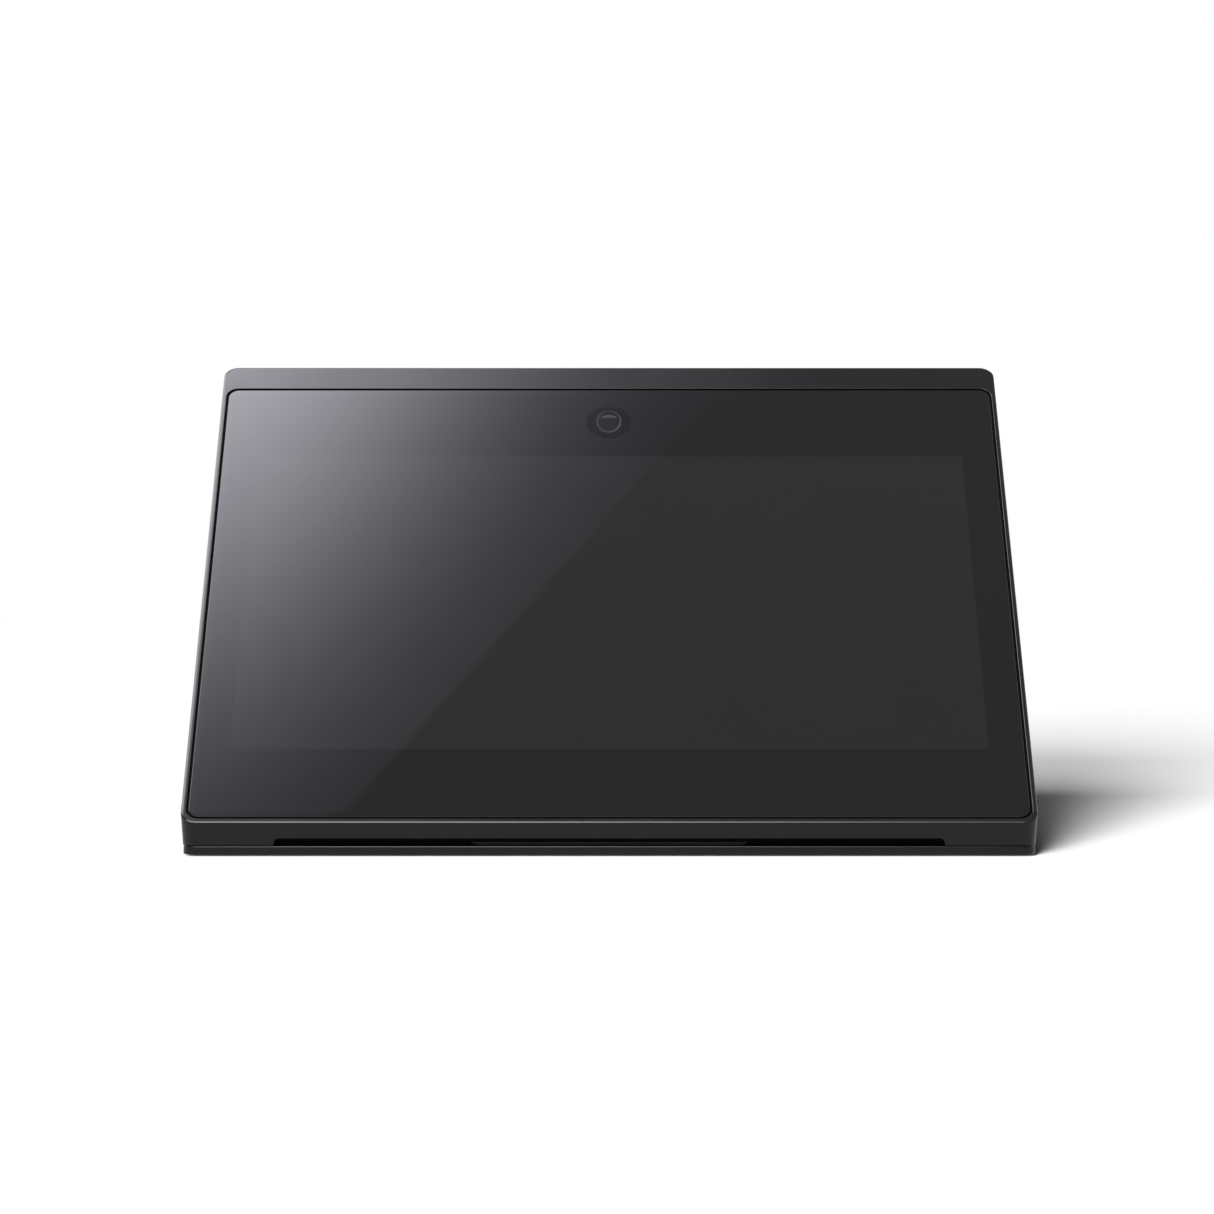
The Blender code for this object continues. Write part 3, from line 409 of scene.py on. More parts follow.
def plate(name, outer, holes, low, high, bevel):
    """A flat plate in the XY plane with holes, whose edges are all rounded, as one mesh shape."""
    curve = bpy.data.curves.new(name, "CURVE")
    curve.dimensions = "2D"
    curve.fill_mode = "BOTH"
    curve.extrude = (high - low) / 2 - bevel
    curve.bevel_depth = bevel
    curve.bevel_resolution = 1
    curve.offset = -bevel
    for points in (outer, *holes):
        spline = curve.splines.new("POLY")
        spline.points.add(len(points) - 1)
        for point, (x, y) in zip(spline.points, points):
            point.co = (x, y, 0, 1)
        spline.use_cyclic_u = True
    item = bpy.data.objects.new(name, curve)
    bpy.context.scene.collection.objects.link(item)
    mesh = applied(item)
    bpy.data.objects.remove(item, do_unlink=True)
    middle = (low + high) / 2
    corners = [(vert.co.x, vert.co.y, vert.co.z + middle) for vert in mesh.vertices]
    faces = [tuple(face.vertices) for face in mesh.polygons]
    bpy.data.meshes.remove(mesh)
    return corners, faces


# Materials


def add(tree, kind, inputs=None, **settings):
    """A shader node whose inputs are set to numbers or linked to sockets."""
    made = tree.nodes.new(f"ShaderNode{kind}")
    for name, value in settings.items():
        setattr(made, name, value)
    for key, value in (inputs or {}).items():
        if isinstance(value, bpy.types.NodeSocket):
            tree.links.new(value, made.inputs[key])
        else:
            made.inputs[key].default_value = value
    return made


def maths(tree, operation, *values):
    return add(tree, "Math", dict(enumerate(values)), operation=operation).outputs[0]


def start_material(name, sockets):
    """A material with its shader's constants set. Returns it with its tree, shader and place in the piece."""
    material = bpy.data.materials.new(name)
    material.use_nodes = True
    tree = material.node_tree
    shader = tree.nodes["Principled BSDF"]
    for key, value in sockets.items():
        shader.inputs[key].default_value = value
    place = add(tree, "TexCoord").outputs["Object"]
    return material, tree, shader, place


def noise(tree, place, size, detail=2.0, roughness=0.5, stretch=None):
    """Noise whose features are size across, drawn out along an axis by stretch."""
    if stretch:
        place = add(tree, "Mapping", {"Vector": place, "Scale": stretch}).outputs["Vector"]
    settings = {"Vector": place, "Scale": 1 / size, "Detail": detail, "Roughness": roughness}
    return add(tree, "TexNoise", settings).outputs["Fac"]


def between(tree, factor, low, high, low_at=0.3, high_at=0.7):
    """The factor's middle range spread from low to high."""
    settings = {"Value": factor, "From Min": low_at, "From Max": high_at, "To Min": low, "To Max": high}
    return add(tree, "MapRange", settings).outputs["Result"]


def tinted(tree, factor, low, high):
    """Mixes two colours, each a triple or a socket."""
    made = add(tree, "Mix", {"Factor": factor}, data_type="RGBA")
    for key, value in (("A", low), ("B", high)):
        if isinstance(value, bpy.types.NodeSocket):
            tree.links.new(value, made.inputs[key])
        else:
            made.inputs[key].default_value = (*value, 1)
    return made.outputs["Result"]


def scaled(colour, by):
    return tuple(channel * by for channel in colour)


def moulded(
    name, colour, roughness, grain=0.0004, depth=0.00002, vary=0.12, blotch=0.03, stretch=None, **sockets
):
    """A solid finish: fine grain in colour and relief, and slow changes of roughness as from handling."""
    material, tree, shader, place = start_material(name, sockets)
    fine = noise(tree, place, grain, 3.0, 0.6, stretch)
    slow = noise(tree, place, blotch, 3.0, 0.55)
    both = maths(tree, "MULTIPLY_ADD", fine, slow, 0.25)
    spread = between(tree, both, 0, 1, 0.35, 0.65)
    colour_at = tinted(tree, spread, scaled(colour, 1 - vary), scaled(colour, 1 + vary))
    tree.links.new(colour_at, shader.inputs["Base Color"])
    rough_at = between(tree, slow, roughness - 0.04, roughness + 0.05)
    tree.links.new(rough_at, shader.inputs["Roughness"])
    bump = add(tree, "Bump", {"Strength": 0.35, "Distance": depth, "Height": fine})
    tree.links.new(bump.outputs["Normal"], shader.inputs["Normal"])
    return material


def cover_glass_look():
    """Black print behind clear glass: a border, a slightly paler picture area and a clear round window."""
    sockets = {"IOR": 1.5, "Specular IOR Level": 0.5}
    material, tree, shader, place = start_material("cover_glass", sockets)
    spread = add(tree, "SeparateXYZ", {"Vector": place}).outputs
    middle = (PICTURE_LOW + PICTURE_HIGH) / 2
    across = maths(tree, "ABSOLUTE", spread["X"])
    up = maths(tree, "ABSOLUTE", maths(tree, "SUBTRACT", spread["Y"], middle))
    soft = 0.0003
    half_height = (PICTURE_HIGH - PICTURE_LOW) / 2
    inside_x = between(tree, across, 1, 0, PICTURE_HALF_WIDTH - soft, PICTURE_HALF_WIDTH + soft)
    inside_y = between(tree, up, 1, 0, half_height - soft, half_height + soft)
    picture = maths(tree, "MULTIPLY", inside_x, inside_y)
    smudge = noise(tree, place, 0.05, 4.0, 0.6)
    border = tinted(tree, between(tree, smudge, 0, 1), (0.0030, 0.0030, 0.0034), (0.0036, 0.0036, 0.0040))
    shown = tinted(tree, between(tree, smudge, 0, 1), (0.0108, 0.0108, 0.0114), (0.0120, 0.0120, 0.0126))
    tree.links.new(tinted(tree, picture, border, shown), shader.inputs["Base Color"])
    tree.links.new(between(tree, smudge, 0.015, 0.035), shader.inputs["Roughness"])
    eye = (0.0, CAMERA_UP, -GLASS_FRONT)
    away = add(tree, "VectorMath", {0: place, 1: eye}, operation="DISTANCE").outputs["Value"]
    feather = 0.0005
    window = between(tree, away, 1, 0, CAMERA_WINDOW - feather, CAMERA_WINDOW + feather)
    clear = add(tree, "BsdfTransparent", {"Color": (0.86, 0.87, 0.88, 1)})
    mirror = add(tree, "BsdfGlossy", {"Roughness": 0.02})
    front = add(tree, "NewGeometry").outputs["Backfacing"]
    facing = maths(tree, "SUBTRACT", 1.0, front)
    fresnel = add(tree, "Fresnel", {"IOR": 1.5}).outputs[0]
    share = maths(tree, "MULTIPLY", fresnel, facing)
    pane = add(tree, "MixShader", {0: share, 1: clear.outputs[0], 2: mirror.outputs[0]})
    whole = add(tree, "MixShader", {0: window, 1: shader.outputs[0], 2: pane.outputs[0]})
    tree.links.new(whole.outputs[0], tree.nodes["Material Output"].inputs["Surface"])
    return material


def board_look():
    """Green solder mask over copper runs, with bare pads."""
    material, tree, shader, place = start_material("board_green", {"Roughness": 0.42, "Coat Weight": 0.3})
    settings = {"Vector": place, "Scale": 90.0, "Mortar Size": 0.012, "Mortar Smooth": 0.3}
    runs = add(tree, "TexBrick", settings)
    runs.inputs["Color1"].default_value = (0.008, 0.085, 0.035, 1)
    runs.inputs["Color2"].default_value = (0.010, 0.100, 0.042, 1)
    runs.inputs["Mortar"].default_value = (0.020, 0.190, 0.080, 1)
    cells = add(tree, "TexVoronoi", {"Vector": place, "Scale": 320.0})
    pads = between(tree, cells.outputs["Distance"], 1, 0, 0.16, 0.20)
    colour = tinted(tree, pads, runs.outputs["Color"], (0.62, 0.47, 0.20))
    tree.links.new(colour, shader.inputs["Base Color"])
    tree.links.new(between(tree, pads, 0, 0.9, 0, 1), shader.inputs["Metallic"])
    bump = add(tree, "Bump", {"Strength": 0.4, "Distance": 0.00004, "Height": pads})
    tree.links.new(bump.outputs["Normal"], shader.inputs["Normal"])
    return material


def cloth_look():
    """Fine black loudspeaker cloth, as two crossed sets of threads."""
    material, tree, shader, place = start_material("grille_cloth", {"Roughness": 0.9, "Sheen Weight": 0.15})
    heights = []
    pitch = 0.0016
    for direction in ("X", "Z"):
        settings = {"Vector": place, "Scale": 1 / pitch, "Distortion": 0.2}
        heights.append(add(tree, "TexWave", settings, bands_direction=direction).outputs["Fac"])
    weave = maths(tree, "MULTIPLY", heights[0], heights[1])
    colour = tinted(tree, weave, (0.001, 0.001, 0.001), (0.010, 0.010, 0.011))
    tree.links.new(colour, shader.inputs["Base Color"])
    bump = add(tree, "Bump", {"Strength": 0.8, "Distance": 0.0002, "Height": weave})
    tree.links.new(bump.outputs["Normal"], shader.inputs["Normal"])
    return material


def make_looks():
    """Every finish by its name. A solid one has a colour, a roughness, and the values that moulded takes."""
    looks = {"cover_glass": cover_glass_look(), "board_green": board_look(), "grille_cloth": cloth_look()}

    def solid(name, *finish, **sockets):
        looks[name] = moulded(name, *finish, **sockets)

    metal, coated = {"Metallic": 1.0}, {"Coat Weight": 0.4}
    dull, satin, moulding = ({"Specular IOR Level": level} for level in (0.15, 0.43, 0.45))
    lens = {"Specular IOR Level": 0.3, "Thin Film Thickness": 420.0, "Thin Film IOR": 1.38}
    clear = {"Transmission Weight": 0.25}
    brushed = (1.0, 1.0, 14.0)
    solid("graphite_metal", (0.0040, 0.0040, 0.0047), 0.20, 0.0003, 0.000004, 0.08, 0.06, **satin)
    solid("shell_plastic", (0.0150, 0.0150, 0.0165), 0.44, 0.0005, 0.00003, 0.12, 0.05, **moulding)
    solid("matt_black_plastic", (0.0050, 0.0050, 0.0055), 0.62, 0.0004, 0.00002)
    solid("button_plastic", (0.026, 0.026, 0.029), 0.36, 0.0003, 0.00001)
    solid("speaker_plastic", (0.018, 0.018, 0.019), 0.5, 0.0005, 0.00003)
    solid("lens_glass", (0.004, 0.004, 0.008), 0.05, 0.002, 0.0000002, 0.1, 0.004, **lens)
    solid("panel_glass", (0.020, 0.020, 0.022), 0.18, 0.0002, 0.000001)
    solid("acrylic", (0.74, 0.76, 0.78), 0.16, 0.001, 0.000004, 0.04, 0.02, **clear)
    solid("adhesive_foam", (0.012, 0.012, 0.012), 0.9, 0.0003, 0.00008)
    solid("zinc_steel", (0.55, 0.56, 0.57), 0.32, 0.0008, 0.00001, 0.10, 0.01, brushed, **metal)
    solid("dark_metal", (0.030, 0.030, 0.033), 0.34, 0.0003, 0.00001, 0.12, 0.01, **metal)
    solid("aluminium", (0.72, 0.73, 0.74), 0.36, 0.0006, 0.00001, 0.08, 0.01, brushed, **metal)
    solid("tin_shield", (0.60, 0.60, 0.61), 0.28, 0.0008, 0.00001, 0.10, 0.006, **metal)
    solid("chip_black", (0.016, 0.016, 0.017), 0.55, 0.0002, 0.00002)
    solid("film_amber", (0.42, 0.21, 0.05), 0.3, 0.002, 0.00001, 0.15, 0.01, **coated)
    solid("black_seal", (0.0015, 0.0015, 0.0016), 0.9, 0.0003, 0.00004, 0.2, 0.01, **dull)
    solid("hood_black", (0.0070, 0.0070, 0.0075), 0.9, 0.0003, 0.00004, 0.2, 0.01, **dull)
    solid("satin_metal", (0.085, 0.085, 0.090), 0.40, 0.0003, 0.000004, 0.06, 0.004, **metal)
    solid("rubber", (0.010, 0.010, 0.010), 0.82, 0.0004, 0.00005, 0.2, 0.008)
    solid("cone_paper", (0.022, 0.022, 0.022), 0.8, 0.0006, 0.00008, 0.25, 0.01)
    solid("gold_contacts", (0.85, 0.58, 0.22), 0.25, 0.0002, 0.000002, 0.06, 0.002, **metal)
    solid("white_marks", (0.30, 0.30, 0.31), 0.5, 0.0002, 0.000004, 0.06, 0.004)
    solid("orange_mark", (0.80, 0.13, 0.01), 0.45, 0.0003, 0.000006, 0.08, 0.003)
    return looks


# The wedge and its two shells


def on_slope(up, depth=0.0):
    """World (y, z) of a point that is up the slope and depth behind the sloping face."""
    return FRONT + (up + depth) * COS, EDGE_Z + (up - depth) * COS


def face_ring(inset, depth):
    """The sloping face's outline at a depth. Its foot follows the lip, and its head stays level and sharp."""
    side, head = inset * SIDE_SHARE, inset * HEAD_SHARE
    foot_corner = (FACE_CORNER - side, FACE_CORNER - inset)
    head_corner = (FACE_CORNER - side, FACE_CORNER - head)
    flat = outline(HALF - side, depth * FOOT_SLOPE + inset, SLOPE + depth - head, foot_corner, head_corner)
    return [(x, *on_slope(up, depth)) for x, up in flat]


def wedge():
    """The outer form above the base plate: sloping face, leaning lip, level top and filleted back."""
    points = []
    for drop, inset in quarter_round(EDGE_STEPS):
        points += face_ring(EDGE_ROUND * inset, EDGE_DROP * drop)
    front_corner = (FACE_CORNER, FACE_CORNER * COS * (1 + LIP_RUN / LIP_DROP))
    back_corner = (BACK_FILLET, BACK_FILLET)
    points += raised(outline(HALF, FRONT + LIP_RUN, BACK, front_corner, back_corner), FLOOR_Z)
    top_corner = (FACE_CORNER, FACE_CORNER * COS)
    for share, drop in quarter_round(ARC_STEPS):
        inset, y = BACK_FILLET * share, BACK - BACK_FILLET * drop
        ring = outline(HALF - inset, FLOOR_Z, HEIGHT - inset, (0, 0), top_corner)
        points += [(x, y, z) for x, z in ring]
    return hull(points)


def front_zone(depth, foot):
    """The bezel's share of the wedge: depth behind the face, and a lip that is foot thick at its foot."""
    foot_y = FRONT + LIP_RUN + foot
    plane = depth / COS + FRONT - EDGE_Z
    rise = (foot_y - FLOOR_Z - plane) / (LIP_RUN + LIP_DROP)
    knee = (foot_y - LIP_RUN * rise, FLOOR_Z + LIP_DROP * rise)
    under = (foot_y + LIP_RUN / LIP_DROP * OUT, FLOOR_Z - OUT)
    top = HEIGHT + OUT
    side = [under, knee, (top + plane, top), (FRONT - OUT, top), (FRONT - OUT, FLOOR_Z - OUT)]
    return along_x(prism(side, -HALF - OUT, HALF + OUT))


def build_bezel():
    window = rounded(WINDOW_HALF_WIDTH, WINDOW_LOW, WINDOW_HIGH, WINDOW_CORNER)
    ledge = rounded(LEDGE_HALF_WIDTH, LEDGE_LOW, LEDGE_HIGH, LEDGE_CORNER)
    opening = stepped((ledge, -OUT), (ledge, -WINDOW_DEPTH), (window, -WINDOW_DEPTH), (window, OUT))
    lean = LIP_RUN / LIP_DROP
    ceiling = 0.0125
    inner_foot = FRONT + LIP_RUN + LIP_WALL
    pocket = [
        (inner_foot + lean * OUT, FLOOR_Z - OUT),
        (inner_foot + OUT, FLOOR_Z - OUT),
        (inner_foot + OUT, ceiling),
        (inner_foot - lean * (ceiling - FLOOR_Z), ceiling),
    ]
    slot = outline(SLOT_HALF_WIDTH, FLOOR_Z - OUT, SLOT_TOP_Z, (0, 0), SLOT_CORNER)
    bezel = carved(
        "bezel_frame",
        wedge(),
        ("INTERSECT", front_zone(BEZEL_DEPTH, BEZEL_FOOT)),
        ("DIFFERENCE", placed(opening, DISPLAY)),
        ("DIFFERENCE", along_x(prism(pocket, -HALF + LIP_WALL, HALF - LIP_WALL))),
        ("DIFFERENCE", along_y(prism(slot, FRONT - OUT, inner_foot + 0.001))),
    )
    soften(finish_piece(bezel, "graphite_metal", replaces="front_bezel"), 0.0002)
    build_slot_cloth(inner_foot + GAP)


def build_slot_cloth(front):
    """Black cloth behind the speaker slot, which clears the divider in its middle."""
    lap, thick = 0.0004, 0.0004
    low, high, back = FLOOR_Z + 0.0001, SLOT_TOP_Z + lap, front + thick
    divider_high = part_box("slot_divider")[1]
    inner, outer = divider_high.x + lap, SLOT_HALF_WIDTH + lap
    strips = [box(side * inner, side * outer, front, back, low, high) for side in (-1, 1)]
    strips.append(box(-inner, inner, front, back, divider_high.z + 0.0002, high))
    finish_piece(mesh_object("slot_cloth", merged(*strips)), "black_seal")


def build_shell():
    corner, clear, past = 0.004, 0.0004, 0.001
    cavity = rounded(HALF - WALL, FLOOR_Z + WALL, HEIGHT - WALL, corner)
    opening = rounded(COVER_HALF_WIDTH + clear, COVER_LOW - clear, COVER_HIGH + clear, corner)
    inner_back = BACK - BACK_WALL
    hollow = along_y(
        stepped((cavity, FRONT - OUT), (cavity, inner_back), (opening, inner_back), (opening, BACK + OUT))
    )
    recess = pill(CONTROL_Y, RECESS_Z, RECESS_WIDTH, RECESS_HEIGHT, ARC_STEPS)
    low, high = HALF - WALL - past, CONTROL_FACE + past
    holes = [circle(POWER_HOLE, CONTROL_Y, POWER_Z)]
    holes += [pill(CONTROL_Y, z, *VOLUME_HOLE) for z in (VOLUME_UP_Z, VOLUME_DOWN_Z)]
    holes.append(pill(CONTROL_Y, SWITCH_Z, *SWITCH_HOLE))
    microphones = [circle(MICROPHONE_HOLE, x, MICROPHONE_Y, 16) for x in MICROPHONE_X]
    shell = carved(
        "shell_case",
        wedge(),
        ("DIFFERENCE", front_zone(BEZEL_DEPTH + GAP, BEZEL_FOOT + GAP)),
        ("DIFFERENCE", hollow),
        ("DIFFERENCE", along_x(prism(recess, CONTROL_FACE, HALF + OUT))),
        ("DIFFERENCE", merged(*(along_x(prism(hole, low, high)) for hole in holes))),
        ("DIFFERENCE", merged(*(prism(hole, HEIGHT - WALL - past, HEIGHT + OUT) for hole in microphones))),
    )
    soften(finish_piece(shell, "shell_plastic", replaces="main_shell"), 0.00028)


def build_glass():
    """The pane, with a fine rounded rim, and the dark seal that fills the gap round it from behind."""
    half = WINDOW_HALF_WIDTH - GLASS_SIDE_GAP
    low, high = WINDOW_LOW + GLASS_END_GAP, WINDOW_HIGH - GLASS_END_GAP
    bevel, chamfer = 0.0003, 0.0001

    def ring(inset):
        return rounded(half - inset, low + inset, high - inset, GLASS_CORNER - inset)

    levels = [(ring(chamfer), -GLASS_BACK), (ring(0.0), -GLASS_BACK + chamfer)]
    levels += [(ring(bevel * inset), -GLASS_FRONT - bevel * drop) for inset, drop in quarter_round(4)]
    levels.append((ring(0.004), -GLASS_FRONT))
    glass = mesh_object("glass_pane", stepped(*levels), DISPLAY)
    finish_piece(glass, "cover_glass", replaces="cover_glass", sharp=60)
    even_normals(glass)
    clear, edge, front = 0.00006, 0.0001, -0.0007
    window = rounded(
        WINDOW_HALF_WIDTH - clear, WINDOW_LOW + clear, WINDOW_HIGH - clear, WINDOW_CORNER - clear
    )
    pane = rounded(half + clear, low - clear, high + clear, GLASS_CORNER + clear)
    seal = plate("seal", window, [pane], GAP - WINDOW_DEPTH, front, edge)
    finish_piece(mesh_object("glass_seal", seal, DISPLAY), "black_seal")


# Camera


def build_camera():
    """A dark cone that leans up behind the window, and the rest of the camera in its own frame."""
    mouth, throat, wall, front, back = 0.0120, 0.0100, 0.0008, -0.0023, -0.0092
    cone = turned([(mouth, front), (throat, back), (throat + wall, back), (mouth + wall, front)])
    leaning = [(x, y - HOOD_LEAN * z, z) for x, y, z in cone[0]], cone[1]
    shroud = mesh_object("camera_shroud", leaning, DISPLAY @ Matrix.Translation((0, CAMERA_UP, 0)))
    finish_piece(shroud, "hood_black", replaces="camera_hood")

    def add_turned(name, profile, look, **more):
        finish_piece(mesh_object(name, turned(profile), CAMERA), look, **more)

    body, flange, seat, well = 0.0065, 0.0075, 0.0050, -0.0016
    barrel = [(0, well), (seat, well), (seat, -0.0006), (seat + 0.0002, -0.0004), (body - 0.0003, -0.0004)]
    barrel += [(body, -0.0007), (body, -0.0050), (flange, -0.0052), (flange, -0.0090), (0, -0.0090)]
    add_turned("camera_lens_barrel", barrel, "dark_metal", replaces="camera_barrel")
    middle, across, proud = 0.0058, 0.0007, 0.0004
    ring = [(middle + across * x, proud * y) for x, y in circle(1.0, steps=12)]
    add_turned("camera_ring", ring, "satin_metal")
    rim, foot, lens_back, bend, steps = 0.0049, -0.0007, -0.0014, math.radians(11.5), 12
    radius = rim / math.sin(bend)
    dome = [(0, lens_back), (rim, lens_back)]
    for step in range(steps + 1):
        angle = bend * (1 - step / steps)
        dome.append((radius * math.sin(angle), foot + radius * (math.cos(angle) - math.cos(bend))))
    add_turned("camera_front_lens", dome, "lens_glass", replaces="camera_lens", sharp=25)
    reach_x, reach_y, clear = 0.0098, 0.0087, 0.0001
    oval = [(x * reach_x, y * reach_y) for x, y in circle(1.0)]
    gasket = plate("gasket", oval, [circle(body + clear)], -0.0048, -0.0040, 0.0001)
    finish_piece(mesh_object("camera_gasket", gasket, CAMERA), "black_seal")


# Rear cover


def build_rear_cover():
    """The cover with its vents, grille and screw seats, and a recess for the plugs."""
    port = rounded_box(PORT_LEFT, PORT_RIGHT, PORT_LOW, PORT_HIGH, PORT_CORNER)
    holes = [port]
    pitch, count, vent_z = 0.006, 41, 0.204
    holes += [pill((i - (count - 1) / 2) * pitch, vent_z, 0.0024, 0.016) for i in range(count)]
    radius, rows, pitch = 0.034, 6, 0.005
    for i in range(-rows, rows + 1):
        level = i * pitch
        holes.append(pill(0, WOOFER_Z + level, 2 * math.sqrt(radius**2 - level**2), 0.0022))
    screws = [(side * REAR_SCREW_X, z) for z in REAR_SCREW_Z for side in (-1, 1)]
    head_hole, seat = 0.0030, 0.0032
    holes += [circle(head_hole, x, z, SMALL_STEPS) for x, z in screws]
    outer = rounded(COVER_HALF_WIDTH, COVER_LOW, COVER_HIGH, 0.0036)
    shapes = [plate("cover_plate", outer, holes, COVER_FRONT, COVER_BACK, 0.0002)]
    ledge = COVER_BACK - 0.0012
    ring = [(SCREW_HOLE, COVER_FRONT), (seat, COVER_FRONT), (seat, ledge), (SCREW_HOLE, ledge)]
    shapes += [shifted(turned(ring, SMALL_STEPS), x, z) for x, z in screws]
    wall, lap = PORT_WALL, 0.0002
    tub = rounded_box(PORT_LEFT - wall, PORT_RIGHT + wall, PORT_LOW - wall, PORT_HIGH + wall, PORT_CORNER)
    rim, foot = COVER_FRONT + lap, PORT_FLOOR - lap
    levels = [(tub, rim), (tub, foot), (port, foot), (port, rim)]
    shapes.append(loft([raised(points, y) for points, y in levels], closed=False))
    floor_holes = []
    for node, corner in (("dc_jack", 0.0010), ("hdmi_jack", 0.0010), ("usb_c_jack", 0.0018)):
        low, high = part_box(node)
        floor_holes.append(rounded_box(low.x - GAP, high.x + GAP, low.z - GAP, high.z + GAP, corner))
    shapes.append(plate("port_floor", tub, floor_holes, PORT_FLOOR - PORT_WALL, PORT_FLOOR, 0.0001))
    cover = mesh_object("back_cover", along_y(merged(*shapes)))
    finish_piece(cover, "shell_plastic", replaces="rear_cover", sharp=50)
    cloth = [(0, 0.1124), (0.0365, 0.1124), (0.0368, 0.1127), (0.0365, 0.1130), (0, 0.1130)]
    disc = mesh_object("woofer_cloth", along_y(shifted(turned(cloth), 0, WOOFER_Z, 0)))
    finish_piece(disc, "grille_cloth")


# Base plate and feet


def build_base():
    """The base with a rounded upper edge, pockets for the feet and sunk holes for the screws."""
    low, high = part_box("base_plate")
    half, front, back, corner = HALF - GAP, FRONT + LIP_RUN + GAP, high.y, 0.007
    top, inset, height, bottom = FLOOR_Z - 0.0001, 0.0005, 0.0009, 0.0004
    levels = [(bottom, low.z), (0.0, low.z + bottom)]
    levels += [(inset * share, top - height * drop) for share, drop in quarter_round(5)]
    shape = stepped(*((rounded(half - i, front + i, back - i, corner - i), z) for i, z in levels))
    pockets = []
    for foot in FEET:
        x, y = middle_of(*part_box(f"foot_{foot}"))[:2]
        pockets.append(prism(pill(x, y, 0.0346, 0.0096, ARC_STEPS), -OUT, low.z + 0.0009))
    for i in range(1, 5):
        x, y = middle_of(*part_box(f"base_screw_{i}"))[:2]
        wide, narrow = circle(0.0027, x, y, SMALL_STEPS), circle(SCREW_HOLE, x, y, SMALL_STEPS)
        sunk = [(wide, -0.001), (wide, low.z + 0.0002), (narrow, 0.0022), (narrow, top + 0.001)]
        pockets.append(stepped(*sunk))
    base = carved("base_tray", shape, ("DIFFERENCE", merged(*pockets)))
    soften(finish_piece(base, "graphite_metal", replaces="base_plate"), 0.00012)


def build_feet():
    """Rubber pads with a raised rim round a sunk middle."""
    for name in FEET:
        low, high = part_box(f"foot_{name}")
        x, y = middle_of(low, high)[:2]
        length, width, tall = high.x - low.x, high.y - low.y, high.z
        insets = [(0.0024, 0.0003), (0.0022, 0.0001), (0.0018, 0.0), (0.0007, 0.0)]
        insets += [(0.0003, 0.0001), (0.00008, 0.0003), (0.0, 0.0006), (0.0, tall)]
        levels = [(pill(0, 0, length - 2 * i, width - 2 * i, ARC_STEPS), z) for i, z in insets]
        foot = mesh_object(f"pad_{name}", stepped(*levels), Matrix.Translation((x, y, 0)))
        finish_piece(foot, "rubber", replaces=f"foot_{name}")


def build_screws():
    """Button heads at the back and flat heads underneath, each with a six-lobed drive."""
    drive = lobed(0.00105, 0.00022)
    shank, tip, head = 0.0011, 0.0006, 0.0008
    dome = [(0, head), (0.0012, 0.00077), (0.0020, 0.00062), (0.0024, 0.0004), (0.0026, 0.0001), (0.0026, 0)]
    rear_profile = dome + [(shank, 0), (shank, -0.0115), (tip, -0.0125), (0, -0.0125)]
    base_profile = [(0, 0.0010), (0.0021, 0.0010), (0.0023, 0.0012), (shank, 0.0024), (shank, 0.0112)]
    base_profile += [(tip, 0.0120), (0, 0.0120)]
    rear = carved("rear_screw_model", turned(rear_profile, 40), ("DIFFERENCE", prism(drive, 0.0003, 0.002)))
    base = carved("base_screw_model", turned(base_profile, 40), ("DIFFERENCE", prism(drive, 0, 0.0016)))
    tip_back = Matrix.Rotation(-math.pi / 2, 4, "X")
    for kind, model, turn in (("rear", rear, tip_back), ("base", base, Matrix.Identity(4))):
        for i in range(1, 5):
            low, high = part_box(f"{kind}_screw_{i}")
            x, y, z = middle_of(low, high)
            place = (x, high.y - head, z) if kind == "rear" else (x, y, 0)
            screw = bpy.data.objects.new(f"{kind}_fixing_{i}", model.data)
            bpy.context.scene.collection.objects.link(screw)
            screw.matrix_world = Matrix.Translation(place) @ turn
            finish_piece(screw, "dark_metal", replaces=f"{kind}_screw_{i}")
        bpy.data.objects.remove(model, do_unlink=True)


# Sockets


